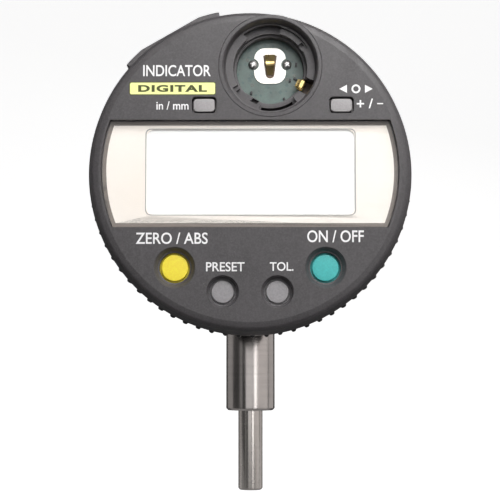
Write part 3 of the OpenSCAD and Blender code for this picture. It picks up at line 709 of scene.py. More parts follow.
@dataclass(frozen=True)
class Soft:
    """Rubber or silicone: matte, with a dusty bloom."""

    name: str
    colour: Colour
    rough: float = 0.75

    def make(self) -> bpy.types.Material:
        """Builds the material."""
        s = Shader(self.name)
        bloom = s.noise(260, 5)
        fine = s.noise(4200, 2)
        s.set(Base_Color=s.mix(s.ramp(bloom, 0.35, 0.75, 0, 0.6), self.colour, shade(self.colour, 1.7)),
              Roughness=s.ramp(fine, 0.3, 0.7, self.rough - 0.08, self.rough + 0.1),
              Specular_IOR_Level=0.35)
        s.bumps((fine, 8e-6))
        return s.material


@dataclass(frozen=True)
class Board:
    """A circuit board: solder mask over copper tracks, with a rubbed and cloudy lacquer."""

    name: str
    mask: Colour
    copper: Colour
    pitch: float = 900.0

    def make(self) -> bpy.types.Material:
        """Builds the material."""
        s = Shader(self.name)
        cells = s.node("ShaderNodeTexVoronoi", {"Vector": s.where, "Scale": self.pitch},
                       distance="MANHATTAN", feature="F1")
        tracks = s.ramp(cells.outputs["Distance"], 0.34, 0.42, 0, 1)
        cloud = s.noise(420, 5, rough=0.65)
        fine = s.noise(2600, 4, rough=0.7)
        base = s.mix(s.ramp(cloud, 0.3, 0.7, 0, 1), shade(self.mask, 0.72), shade(self.mask, 1.25))
        base = s.mix(s.ramp(tracks, 0, 1, 0, 0.28), base, self.copper)
        base = s.mix(s.ramp(fine, 0.52, 0.7, 0, 0.5), base, shade(self.mask, 1.7))
        s.set(Base_Color=base, Roughness=s.ramp(fine, 0.3, 0.7, 0.3, 0.55))
        s.bumps((tracks, 1.2e-5), (fine, 4e-6))
        return s.material


@dataclass(frozen=True)
class Plated:
    """Plated sheet metal: bright, with faint rolling lines and a little tarnish."""

    name: str
    colour: Colour
    rough: float = 0.2
    tarnish: Colour = (0.35, 0.25, 0.15)
    amount: float = 0.15
    metallic: float = 0.9

    def make(self) -> bpy.types.Material:
        """Builds the material."""
        s = Shader(self.name)
        lines = s.noise(1800, 2, (1, 0.05, 0.05))
        cloud = s.noise(700, 4)
        base = s.mix(s.ramp(cloud, 0.5, 0.8, 0, self.amount), self.colour, self.tarnish)
        s.set(Base_Color=base, Metallic=self.metallic,
              Roughness=s.ramp(lines, 0.3, 0.7, self.rough, self.rough + 0.12))
        s.bumps((lines, 6e-7))
        return s.material


@dataclass(frozen=True)
class Satin:
    """A printed or anodised satin sheet with a hair-fine lengthwise brush."""

    name: str
    colour: Colour
    metallic: float = 0.0
    rough: float = 0.42
    warm: Colour = (1.0, 0.97, 0.94)

    def make(self) -> bpy.types.Material:
        """Builds the material."""
        s = Shader(self.name)
        hair = s.noise(3000, 3, (0.03, 1, 1))
        cloud = s.noise(45, 2)
        tint = tuple(c * w for c, w in zip(self.colour, self.warm))
        base = s.mix(s.ramp(cloud, 0.35, 0.65, 0, 1), self.colour, tint)
        base = s.mix(s.ramp(hair, 0.35, 0.65, 0, 0.25), base, shade(self.colour, 0.9))
        s.set(Base_Color=base, Metallic=self.metallic,
              Roughness=s.ramp(hair, 0.3, 0.7, self.rough - 0.05, self.rough + 0.08))
        s.bumps((hair, 8e-7))
        return s.material


@dataclass(frozen=True)
class Clear:
    """A clear moulded window with faint surface haze."""

    name: str
    tint: Colour
    alpha: float = 0.1

    def make(self) -> bpy.types.Material:
        """Builds the material."""
        s = Shader(self.name)
        haze = s.noise(300, 4)
        s.set(Base_Color=s.mix(haze, self.tint, shade(self.tint, 0.93)),
              Roughness=s.ramp(haze, 0.3, 0.7, 0.04, 0.1), Alpha=self.alpha,
              Specular_IOR_Level=0.2)
        return s.material


@dataclass(frozen=True)
class Ruled:
    """A ground glass scale with a fine plated ruling."""

    name: str
    colour: Colour
    line: Colour
    pitch: float = 5000.0

    def make(self) -> bpy.types.Material:
        """Builds the material."""
        s = Shader(self.name)
        wave = s.node("ShaderNodeTexWave", {"Vector": s.where, "Scale": self.pitch / 20},
                      bands_direction="Z", wave_type="BANDS")
        cloud = s.noise(300, 3)
        base = s.mix(s.ramp(wave.outputs["Fac"], 0.45, 0.55, 0, 0.8), self.colour, self.line)
        s.set(Base_Color=base, Roughness=s.ramp(cloud, 0.3, 0.7, 0.08, 0.2))
        return s.material


@dataclass(frozen=True)
class Finishes:
    """Every finish of the indicator."""

    bezel: Moulded = Moulded("bezel_plastic", (0.058, 0.054, 0.057), rough=0.5, depth=1.1e-5)
    case: Moulded = Moulded("case_plastic", (0.03, 0.028, 0.029), rough=0.42)
    grip: Moulded = Moulded("grip_plastic", (0.02, 0.0185, 0.019), rough=0.4, wear=0.1)
    port: Moulded = Moulded("port_plastic", (0.022, 0.021, 0.022), rough=0.5, wear=0.1)
    yellow: Moulded = Moulded("yellow_button", (0.83, 0.66, 0.045), rough=0.42, wear=0.0, clouding=0.04)
    teal: Moulded = Moulded("teal_button", (0.055, 0.40, 0.39), rough=0.4, wear=0.04, clouding=0.05)
    grey: Moulded = Moulded("grey_button", (0.27, 0.26, 0.27), rough=0.45, wear=0.05, clouding=0.05)
    key_grey: Moulded = Moulded("key_grey", (0.285, 0.272, 0.277), rough=0.45, wear=0.05, clouding=0.05)
    chip: Moulded = Moulded("chip_epoxy", (0.03, 0.03, 0.032), rough=0.55)
    white_frame: Moulded = Moulded("frame_plastic", (0.6, 0.6, 0.58), rough=0.5, wear=0.0)
    plug: Moulded = Moulded("plug_plastic", (0.6, 0.56, 0.48), rough=0.5, wear=0.0)
    component: Moulded = Moulded("component", (0.42, 0.37, 0.28), rough=0.5, wear=0.0)
    # The next finish is brown paint for the shade under the tongue and in the plus spring's slot.
    shade_sheet: Moulded = Moulded("brown_tape", (0.085, 0.045, 0.02), rough=0.35, wear=0.0)
    film: Moulded = Moulded("flex_film", (0.42, 0.2, 0.06), rough=0.3, wear=0.0)
    lcd: Moulded = Moulded("display_glass", (0.95, 0.955, 0.95), rough=0.6, wear=0.0, clouding=0.005,
                           depth=1e-7)
    ink: Moulded = Moulded("white_ink", (0.78, 0.77, 0.78), rough=0.6, wear=0.0, clouding=0.06)
    label: Moulded = Moulded("label_ink", (0.86, 0.93, 0.34), rough=0.5, wear=0.0, clouding=0.04)
    label_text: Moulded = Moulded("label_text", (0.055, 0.06, 0.012), rough=0.6, wear=0.0)
    stem: Machined = Machined("stem_steel", (0.56, 0.52, 0.50), rough=0.2)
    spindle: Machined = Machined("spindle_steel", (0.60, 0.56, 0.53), rough=0.22, rings=3200)
    bronze: Machined = Machined("bush_bronze", (0.62, 0.42, 0.2), rough=0.3)
    plain: Machined = Machined("plain_steel", (0.5, 0.49, 0.47), rough=0.32, stretch=(1, 1, 1))
    screw: Machined = Machined("zinc_screw", (0.55, 0.54, 0.53), rough=0.3, stretch=(1, 1, 1))
    black_screw: Machined = Machined("black_screw", (0.06, 0.06, 0.062), rough=0.38, stretch=(1, 1, 1))
    milled: Machined = Machined("milled_aluminium", (0.65, 0.65, 0.64), rough=0.36, stretch=(0.05, 1, 1))
    wire: Machined = Machined("spring_wire", (0.45, 0.45, 0.44), rough=0.3, stretch=(1, 1, 1))
    solder: Machined = Machined("solder", (0.12, 0.12, 0.11), rough=0.35, stretch=(1, 1, 1))
    rubber: Soft = Soft("black_rubber", (0.018, 0.018, 0.018))
    silicone: Soft = Soft("key_silicone", (0.06, 0.065, 0.07), 0.6)
    strip: Soft = Soft("strip_rubber", (0.5, 0.24, 0.28), 0.6)
    board: Board = Board("main_board", (0.068, 0.11, 0.103), (0.15, 0.175, 0.15))
    sensor_board: Board = Board("sensor_board", (0.03, 0.14, 0.09), (0.3, 0.3, 0.1))
    nickel: Plated = Plated("nickel_plate", (0.97, 0.95, 0.9), 0.35, (0.75, 0.65, 0.45), 0.1, 0.35)
    brass: Plated = Plated("tongue_plate", (0.5, 0.38, 0.17), 0.25, (0.1, 0.05, 0.02), 0.8)
    gold: Plated = Plated("gold_plate", (0.83, 0.62, 0.25), 0.22, (0.25, 0.15, 0.05), 0.4)
    silver: Satin = Satin("silver_plate", (0.94, 0.89, 0.835), 0.0, 0.7)
    border: Satin = Satin("border_grey", (0.2, 0.17, 0.15), 0.1, 0.5)
    reflector: Satin = Satin("reflector", (0.9, 0.9, 0.9), 0.0, 0.3)
    # The next finish is grey paint for the shadow along the edge of the silver plate's opening round the
    # display.
    edge: Moulded = Moulded("display_edge", (0.3, 0.295, 0.29), rough=0.6, wear=0.0)
    lens: Clear = Clear("window_lens", (0.97, 0.98, 0.98), 0.04)
    scale: Ruled = Ruled("encoder_scale", (0.45, 0.58, 0.6), (0.75, 0.72, 0.6))


class Wardrobe:
    """Makes each finish once and hands out its material."""

    def __init__(self) -> None:
        """Starts with every finish unmade."""
        self.finishes = Finishes()
        self.made: dict[str, bpy.types.Material] = {}

    def __getitem__(self, name: str) -> bpy.types.Material:
        """The material of a finish, by its field name."""
        if name not in self.made:
            self.made[name] = getattr(self.finishes, name).make()
        return self.made[name]


LOOKS = Wardrobe()


# ----------------------------------------------------------------- pieces


def shaded(mesh: Mesh, angle: float = 32.0) -> Mesh:
    """Smooth shading that breaks at edges sharper than an angle in degrees."""
    mesh.polygons.foreach_set("use_smooth", [True] * len(mesh.polygons))
    mesh.set_sharp_from_angle(angle=math.radians(angle))
    return mesh


def piece(name: str, mesh: Mesh, rides: Rides, finish: str,
          replaces: Sequence[str] = (), place: Place = Place.FACE, even: bool = False,
          crease: float = 32.0) -> bpy.types.Object:
    """Places a mesh as a piece of the indicator.

    Args:
        name: Name of the piece.
        mesh: Its mesh, in millimetres.
        rides: The body that it moves with.
        finish: Name of its finish.
        replaces: The nodes that it stands for.
        place: The axes that the mesh was drawn in.
        even: Whether big flat faces rule the shading of their edges.
        crease: Angle in degrees past which an edge stays sharp.

    Returns:
        The piece's object.
    """
    moved(mesh, Matrix.Diagonal((MM, MM, MM, 1)) @ place.value)
    mesh.name = name
    mesh.materials.clear()
    mesh.materials.append(LOOKS[finish])
    shaded(mesh, crease)
    made = bpy.data.objects.new(name, mesh)
    bpy.context.scene.collection.objects.link(made)
    if even:
        change = made.modifiers.new("even", "WEIGHTED_NORMAL")
        change.keep_sharp = True
        change.weight = 100
    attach(made, rides.value)
    if replaces:
        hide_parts(*replaces)
    LOG.info("%s: %d faces on %s", name, len(mesh.polygons), rides.value)
    return made


@dataclass
class BatteryWell:
    """The open battery well: its wall in the bezel, and the contacts on its floor."""

    edge_r: float = 27.7
    inset: float = 7.98
    direction: float = 79.1
    lip_r: float = 9.5
    mouth_r: float = 8.64
    ledge_r: float = 8.3
    ledge_depth: float = 2.0
    seat_r: float = 6.75
    floor_r: float = 6.25
    floor_rise: float = 1.9
    pocket_r: float = 8.0
    pocket_from: float = 75.0
    pocket_span: float = 53.0
    pocket_inner: float = 5.75
    pocket_floor: float = 3.6
    pocket_roof: float = 2.7
    ramp_span: float = 47.0
    slot_r: tuple[float, float] = (8.1, 7.25)
    slot_from: float = 257.0
    slot_span: float = 47.0
    notch_r: tuple[float, float] = (7.1, 6.1)
    notch_from: float = 238.0
    notch_span: float = 12.0
    pad_angle: float = 239.0
    pad_reach: float = 0.8
    plus_angle: float = -25.0
    plus_w: float = 1.4
    plate_up: float = 1.25
    plate_half: Point2 = (2.95, 3.35)
    sheet: float = 0.2
    screw_x: float = 3.2
    screw_up: float = 0.25
    tongue_run: float = 3.9
    tongue_rise: float = 1.25
    tongue_half: Point2 = (0.98, 0.58)
    vias: tuple[Point2, ...] = ((3.2, -1.3), (4.6, -0.6), (-4.2, 2.4), (-3.3, -2.4))
    chips: tuple[Point2, ...] = ((3.75, -1.5), (4.75, -1.25), (-3.5, -3.9), (2.7, -5.1), (4.9, 1.5))

    @property
    def at(self) -> Point2:
        """The well's centre."""
        return polar(self.direction, self.edge_r - self.inset)

    @property
    def middle(self) -> Point2:
        """The nickel plate's centre."""
        return self.at[0], self.at[1] + self.plate_up

    def sector(self, outer: float, inner: float, start: float, span: float, low: float,
               high: float) -> Mesh:
        """Part of a flat ring about the well's centre."""
        steps = max(4, round(span / 2.5))
        outline = arc(self.at, outer, start, start + span, steps)
        outline += arc(self.at, inner, start + span, start, steps)
        return prism("sector", outline, low, high)

    def wall(self, low: float, reach: float) -> Mesh:
        """The wall as a solid post, with a rounded top edge.

        Args:
            low: Level of its bottom.
            reach: How far its outside goes from the well's centre.

        Returns:
            The mesh.
        """
        profile = rounded([(0, low, 0), (reach, low, 0), (reach, FACE, 0.16), (0, FACE, 0)],
                          closed=False, steps=4)
        return turned("well_wall", profile, 160, self.at)

    def void(self) -> Mesh:
        """What the cell and its cover leave empty, with every edge eased."""
        ring = BOARD + self.floor_rise
        ledge = FACE - self.ledge_depth
        profile = rounded([
            (0, BOARD - 1, 0), (self.floor_r, BOARD - 1, 0), (self.floor_r, ring, 0.14),
            (self.seat_r, ring, 0.1), (self.seat_r, ledge, 0.18), (self.ledge_r, ledge, 0.2),
            (self.mouth_r, FACE - 0.18, 0.1), (self.mouth_r + 0.22, FACE, 0.1),
            (self.mouth_r + 0.22, FACE + 1, 0), (0, FACE + 1, 0)], steps=4)
        return turned("well_void", profile, 160, self.at)

    def pad(self) -> Mesh:
        """The pad that stays standing at the well's floor."""
        mesh = block("pad", (self.seat_r - self.pad_reach, -self.seat_r, BOARD - 2),
                     (2 * self.seat_r, self.seat_r, BOARD + self.floor_rise), 0.12)
        return moved(mesh, set_at(self.at, self.pad_angle))

    def cuts(self) -> list[Step]:
        """Everything that the bezel loses to the well."""
        floor, roof = FACE - self.pocket_floor, FACE - self.pocket_roof
        taken = [carved(self.void(), takes(self.pad()))]
        outer, inner = self.pocket_r, self.pocket_inner
        span, ramp = self.pocket_span, self.ramp_span
        for start in (self.pocket_from, self.pocket_from + 180):
            taken += [
                self.sector(outer, inner, start, span, floor, FACE - 1),
                self.sector(outer - 0.1, inner - 0.1, start + span - 1, 42, floor + 0.1, roof),
                self.sector(outer - 0.15, inner - 0.2, start - ramp, ramp + 1, roof + 0.1, FACE - 0.9),
                self.sector(outer - 0.4, inner - 0.3, start + 139, 6, roof - 0.7, FACE - 0.8)]
        taken += [self.sector(*self.slot_r, self.slot_from, self.slot_span, BOARD + 0.3, FACE),
                  self.sector(*self.notch_r, self.notch_from, self.notch_span, BOARD + 0.6, FACE)]
        slot = block("plus_slot", (self.floor_r - 1.02, -1.7, BOARD - 1),
                     (self.pocket_r + 0.4, 1.2, FACE - self.ledge_depth + 1))
        groove = turned("lip_groove", [(self.lip_r - 0.02, FACE - 0.16), (self.lip_r + 0.13, FACE + 0.3),
                                       (self.lip_r - 0.17, FACE + 0.3)], 160, self.at)
        return takes(*taken, moved(slot, set_at(self.at, self.plus_angle)), groove)

    def minus_plate(self) -> Mesh:
        """The nickel plate, with the slot that the tongue rises from."""
        x0, y0 = self.middle
        half_w, half_h = self.plate_half
        outline = rounded([(x0 + sx * half_w, y0 + sy * half_h, 2.0)
                           for sx, sy in ((-1, -1), (1, -1), (1, 1), (-1, 1))], steps=10)
        plate = prism("battery_contact_minus", outline, BOARD, BOARD + self.sheet, 0.06)
        slot = [(x0 - 1.3, y0 + 2.0), *arc((x0, y0 - 1.55), 0.85, 190, 350, 14), (x0 + 1.3, y0 + 2.0)]
        notches = [prism("notch", circle(1.12, 28, (x0 + s * self.screw_x, y0 + self.screw_up)),
                         BOARD - 1, BOARD + 1) for s in (-1, 1)]
        return carved(plate, takes(prism("slot", slot, BOARD - 1, BOARD + 1), *notches))

    def painted_shade_sheets(self) -> Mesh:
        """Dark brown sheets of painted shade on the board: under the tongue, and behind the plus spring in
        its slot.
        """
        x0, y0 = self.middle
        under = prism("contact_tape", rectangle(3.0, 4.6, 0.5, (x0, y0 - 0.1)), BOARD, BOARD + 0.03)
        behind = block("contact_tape", (self.floor_r + 0.8, -1.65, BOARD + 0.01),
                       (self.pocket_r + 0.35, 1.15, BOARD + 0.3))
        return joined("contact_tape", [under, moved(behind, set_at(self.at, self.plus_angle))])

    def tongue(self) -> Mesh:
        """The tongue: it leaves the slot's top, arches forwards and dips behind the plate."""
        x0, y0 = self.middle
        wide, narrow = self.tongue_half
        steps, rows = 20, []
        for i in range(steps + 1):
            t = i / steps
            rise = self.tongue_rise * math.sin(math.pi * t * 0.97) ** 1.4
            y, z = y0 + 2.2 - self.tongue_run * t, BOARD + 0.02 + rise
            half = wide + (narrow - wide) * t
            rows.append([(x0 + side * half, y, z + up * self.sheet * 0.8)
                         for side, up in ((-1, 0), (1, 0), (1, 1), (-1, 1))])
        return strip("tongue", rows)

    def plus_spring(self) -> Mesh:
        """The gold contact, a bent strip standing in its slot."""
        low = BOARD
        top = FACE - self.ledge_depth - 0.6
        inner, outer = self.floor_r - 0.9, self.floor_r + 0.75
        spine = rounded([(outer - 1.1, low + 0.1, 0), (outer, low + 0.1, 0.2), (outer, top - 1.0, 0.35),
                         (inner + 0.75, top - 0.8, 0.5), (inner, low + 1.7, 0.5),
                         (inner + 0.6, low + 0.8, 0)], closed=False, steps=5)
        rows, half = [], self.plus_w / 2
        for i, (r, z) in enumerate(spine):
            ahead = Vector(spine[min(i + 1, len(spine) - 1)])
            behind = Vector(spine[max(i - 1, 0)])
            run = (ahead - behind).normalized()
            side = Vector((-run.y, run.x)) * self.sheet / 2
            rows.append([(r + s * side.x, w * half, z + s * side.y)
                         for s, w in ((-1, -1), (-1, 1), (1, 1), (1, -1))])
        return moved(strip("battery_contact_plus", rows), set_at(self.at, self.plus_angle))

    def screw(self) -> Mesh:
        """A small domed screw with a cross recess, standing at the origin."""
        head = turned("well_screw", rounded([(0, -1.0, 0), (0.45, -1.0, 0), (0.45, 0, 0), (0.85, 0, 0.05),
                                             (0.85, 0.34, 0.25), (0.3, 0.6, 0.3), (0, 0.62, 0)],
                                            closed=False, steps=4), 32)
        return carved(head, takes(block("cross", (-0.5, -0.09, 0.42), (0.5, 0.09, 1)),
                                  block("cross", (-0.09, -0.5, 0.42), (0.09, 0.5, 1))))

    def on_board(self, offsets: Sequence[Point2]) -> list[Point3]:
        """Places on the board, from their distances to the well's centre."""
        return [(self.at[0] + x, self.at[1] + y, BOARD) for x, y in offsets]

    def build(self) -> None:
        """Makes the contacts, their screws, and the vias and chips round them."""
        piece("battery_contact_minus", self.minus_plate(), Rides.HEAD, "nickel",
              ["battery_contact_minus"])
        piece("battery_contact_plus", self.plus_spring(), Rides.HEAD, "gold",
              ["battery_contact_plus"])
        piece("contact_tongue", self.tongue(), Rides.HEAD, "brass")
        # Painted shade: brown sheets under the tongue and in the plus spring's slot.
        piece("contact_tape", self.painted_shade_sheets(), Rides.HEAD, "shade_sheet")
        places = self.on_board([(s * self.screw_x, self.plate_up + self.screw_up) for s in (-1, 1)])
        piece("contact_screws", copies_at("contact_screws", self.screw(), places, LOOKS["screw"], 1.4, 3),
              Rides.HEAD, "screw", ["contact_screws"])
        via = turned("via", [(0.16, 0), (0.3, 0), (0.28, 0.05), (0.18, 0.05)], 20)
        vias = copies_at("board_vias", via, self.on_board(self.vias), LOOKS["solder"], 0, 1)
        piece("board_vias", vias, Rides.HEAD, "solder")
        chip = block("chip", (-0.34, -0.2, 0), (0.34, 0.2, 0.3), 0.05)
        chips = copies_at("board_chips", chip, self.on_board(self.chips), LOOKS["chip"], 2.6, 5)
        piece("board_chips", chips, Rides.HEAD, "chip")


@dataclass
class FrontBezel:
    """The front shell of the head: face, rim, window recess, button dishes and well."""

    head_r: float = 30.0
    edge_r: float = 27.7
    rim_h: float = 1.5
    crease_r: float = 29.45
    wall: float = 2.2
    spigot_r: float = 28.2
    inner_r: float = 26.4
    window_r: float = 27.3
    window_top: float = 9.35
    window_bottom: float = 10.4
    window_depth: float = 1.7
    lcd: tuple[float, float] = (40.6, 17.6)
    lcd_at: Point2 = (0.1, -0.1)
    port_angle: float = 120.0
    port_span: float = 38.0
    port_r: float = 30.23
    port_flat: float = 29.68
    port_size: tuple[float, float] = (11.0, 4.2)
    port_drop: float = 0.2
    dish_h: float = 1.0
    big: tuple[float, float] = (2.43, 1.38)
    small: tuple[float, float] = (2.05, 0.96)
    gap: float = 0.36
    key: tuple[float, float] = (4.5, 3.0)
    key_at: tuple[Point2, ...] = ((-8.4, 12.05), (16.75, 12.05))
    well: BatteryWell = field(default_factory=BatteryWell)

    def shell(self) -> Mesh:
        """The bare shell, turned."""
        rim = FACE - self.rim_h
        back = FACE - self.wall
        run = self.crease_r - self.edge_r
        crown = [(self.edge_r + run * math.sin(t), rim + self.rim_h * math.cos(t), 0)
                 for t in (math.radians(a) for a in range(30, 85, 9))]
        profile = rounded([
            (0, back, 0), (0, FACE, 0), (self.edge_r, FACE, 0.5), *crown, (self.crease_r, rim, 0.06),
            (self.head_r, GRIP_FRONT + 0.3, 0.2), (self.head_r, GRIP_FRONT, 0.06),
            (self.spigot_r, GRIP_FRONT, 0), (self.spigot_r, PLATE_FRONT, 0),
            (self.inner_r, PLATE_FRONT, 0), (self.inner_r, back, 0.3)],
            steps=6)
        return turned("front_bezel", profile, 224)

    def port_boss(self) -> Mesh:
        """The flat-topped block that carries the output connector."""
        half = self.port_span / 2
        low, high = PLATE_FRONT, FACE - self.rim_h
        flat = math.degrees(math.acos(self.port_flat / self.port_r))
        outline = arc((0, 0), self.port_r, self.port_angle - half, self.port_angle - flat, 10)
        outline += arc((0, 0), self.port_r, self.port_angle + flat, self.port_angle + half, 10)
        outline += arc((0, 0), self.inner_r + 0.1, self.port_angle + half, self.port_angle - half, 30)
        return prism("port_boss", outline, low, high, 0.25)

    def port_hole(self) -> Mesh:
        """The rectangular hole for the connector."""
        w, h = self.port_size
        high = BOARD_BACK - self.port_drop
        mesh = block("port_hole", (24, -w / 2, high - h), (40, w / 2, high), 0.15)
        return moved(mesh, Matrix.Rotation(math.radians(self.port_angle), 4, "Z"))

    def window_outline(self, gap: float) -> list[Point2]:
        """The window's outline, drawn in by a gap all round."""
        r = self.window_r - gap
        top = math.degrees(math.asin((self.window_top - gap) / r))
        low = math.degrees(math.asin((self.window_bottom - gap) / r))
        return arc((0, 0), r, -low, top, 24) + arc((0, 0), r, 180 - top, 180 + low, 24)

    def dish(self, at: Point2, button: Point2) -> Mesh:
        """The round dish and the hole for one round button.

        Args:
            at: The button's centre.
            button: The button's radius, and the dish's width round it.

        Returns:
            The mesh to take away.
        """
        hole = button[0] + self.gap
        rim = button[0] + button[1]
        profile = rounded([(0, FACE - 4, 0), (hole, FACE - 4, 0), (hole, FACE - self.dish_h, 0.1),
                           (hole + 0.25, FACE - self.dish_h + 0.04, 0.3), (rim - 0.25, FACE - 0.22, 0.7),
                           (rim + 0.25, FACE + 0.24, 0), (0, FACE + 0.24, 0)], steps=6)
        return turned("dish", profile, 96, at)

    def key_hole(self, at: Point2) -> Mesh:
        """The hole for a rectangular button, eased at its mouth."""
        mesh = prism("key_hole", rectangle(*self.key, 0.7, at), FACE - 4, FACE + 0.02)
        flare = prism("flare", rectangle(self.key[0] + 0.16, self.key[1] + 0.16, 0.78, at), FACE - 0.08,
                      FACE + 1)
        return carved(mesh, [(Cut.JOIN, flare)])

    def build(self, buttons: "Buttons") -> None:
        """Carves the bezel and makes it a piece.

        Args:
            buttons: The buttons, which say where the dishes are.
        """
        wall = self.well.wall(GRIP_FRONT - 0.4, self.well.lip_r)
        inner = carved(turned("inner_wall", [(0, BOARD), (self.well.lip_r - 0.05, BOARD),
                                             (self.well.lip_r - 0.05, FACE - 1), (0, FACE - 1)],
                              120, self.well.at),
                       [(Cut.KEEP, turned("limit", [(0, BOARD - 1), (self.inner_r + 0.6, BOARD - 1),
                                                    (self.inner_r + 0.6, FACE), (0, FACE)], 160))])
        w, h = self.lcd
        x, y = self.lcd_at
        recess = prism("recess", self.window_outline(0), FACE - self.window_depth, FACE + 1)
        opening = block("lcd", (x - w / 2, y - h / 2, FACE - 4), (x + w / 2, y + h / 2, FACE))
        steps = [(Cut.JOIN, self.port_boss()), (Cut.JOIN, inner), (Cut.JOIN, wall)]
        steps += takes(self.port_hole(), recess, opening)
        steps += takes(*(self.dish(at, size) for at, size in buttons.round_places(self)))
        steps += takes(*(self.key_hole(at) for at in self.key_at)) + self.well.cuts()
        piece("front_bezel", carved(self.shell(), steps), Rides.HEAD, "bezel",
              ["front_bezel"], even=True, crease=22.0)
        self.well.build()


@dataclass
class GripRing:
    """The black ring with ribs that the fingers turn the head by."""

    radius: float = 30.0
    inner_r: float = 28.2
    count: int = 72
    height: float = 0.4
    width: float = 0.86
    setback: float = 2.9
    phase: float = 0.9
    gap_middle: float = 120.0
    gap_half: float = 19.6

    def rib(self) -> Mesh:
        """One rib, a half-round rod with rounded ends, drawn across the origin."""
        half = self.width / 2
        low, high = PLATE_FRONT + 0.12, GRIP_FRONT - self.setback
        outline = [(-0.3, -half), *arc((self.height - half, 0), half, -90, 90, 10), (-0.3, half)]
        return prism("rib", outline, low, high, 0.12)

    def build(self) -> None:
        """Makes the ring and its ribs one piece."""
        start, sweep = self.gap_middle + self.gap_half, 360 - 2 * self.gap_half
        band = arc((0, 0), self.radius, start, start + sweep, 200)
        band += arc((0, 0), self.inner_r, start + sweep, start, 200)
        ring = prism("grip", band, PLATE_FRONT, GRIP_FRONT)
        model = scene_object(self.rib())
        mesh = round_the_rim().run(ring, {
            "Count": self.count, "Radius": self.radius, "Phase": math.radians(self.phase),
            "Gap middle": math.radians(self.gap_middle),
            "Gap half": math.radians(self.gap_half + 1.2), "Copy": model, "Material": LOOKS["grip"]})
        bpy.data.objects.remove(model)
        piece("grip_ring", mesh, Rides.HEAD, "grip", ["grip_ring"])


@dataclass
class Buttons:
    """The six buttons, and the dishes' places that the bezel asks for."""

    big_angle: float = 52.3
    small_angle: float = 77.3
    big_inset: float = 5.21
    small_inset: float = 4.98
    sunk: float = 1.2
    key_sunk: float = 0.25
    key: tuple[float, float] = (3.8, 2.3)

    def round_places(self, bezel: FrontBezel) -> list[tuple[Point2, Point2]]:
        """Centre and size of each round button, left to right from the big ones.

        Args:
            bezel: The bezel, for its edge and the dishes' sizes.

        Returns:
            Centre, and the button's radius with its dish's width.
        """
        big, small = bezel.edge_r - self.big_inset, bezel.edge_r - self.small_inset
        return [(polar(180 + self.big_angle, big), bezel.big), (polar(-self.big_angle, big), bezel.big),
                (polar(180 + self.small_angle, small), bezel.small),
                (polar(-self.small_angle, small), bezel.small)]

    def round_cap(self, at: Point2, radius: float, wall: float) -> Mesh:
        """A round button: a slightly crowned cap over its flange and plunger."""
        top = FACE - self.sunk
        flange = FACE - wall - 0.02
        crown = [(radius * (1 - i / 8), top - 0.1 + 0.1 * (1 - (1 - i / 8) ** 2)) for i in range(1, 9)]
        profile = rounded([(0, flange - 2, 0), (1.2, flange - 2, 0.1), (1.2, flange - 0.8, 0),
                           (radius + 0.58, flange - 0.8, 0.1), (radius + 0.58, flange, 0.1),
                           (radius, flange, 0), (radius, top - 0.1, 0.22), crown[0] + (0,)],
                          closed=False, steps=5)
        return turned("button", profile[:-1] + crown, 80, at)

    def key_cap(self, at: Point2, wall: float) -> Mesh:
        """A rectangular button over its flange and plunger."""
        flange = FACE - wall - 0.02
        cap = prism("cap", rectangle(*self.key, 0.5, at), flange - 0.4, FACE - self.key_sunk, 0.14)
        x, y = at
        base = block("base", (x - 2.55, y - 1.7, flange - 0.8), (x + 2.55, y + 1.7, flange))
        plunger = turned("plunger", [(0, flange - 2), (1.2, flange - 2), (1.2, flange - 0.5),
                                     (0, flange - 0.5)], 32, at)
        return carved(cap, [(Cut.JOIN, base), (Cut.JOIN, plunger)])

    def build(self, bezel: FrontBezel) -> None:
        """Makes the six buttons.

        Args:
            bezel: The bezel that they stand in.
        """
        kinds = [("zero_button", Rides.ZERO, "yellow", "button_yellow"),
                 ("power_button", Rides.POWER, "teal", "button_teal"),
                 ("preset_button", Rides.PRESET, "grey", "button_grey"),
                 ("tolerance_button", Rides.TOLERANCE, "grey", "button_grey")]
        for (name, rides, finish, slot), (at, size) in zip(kinds, self.round_places(bezel)):
            piece(name, self.round_cap(at, size[0], bezel.wall), rides, finish, [name])
        for (name, rides), at in zip([("units_button", Rides.UNITS), ("sense_button", Rides.SENSE)],
                                     bezel.key_at):
            piece(name, self.key_cap(at, bezel.wall), rides, "key_grey", [name])


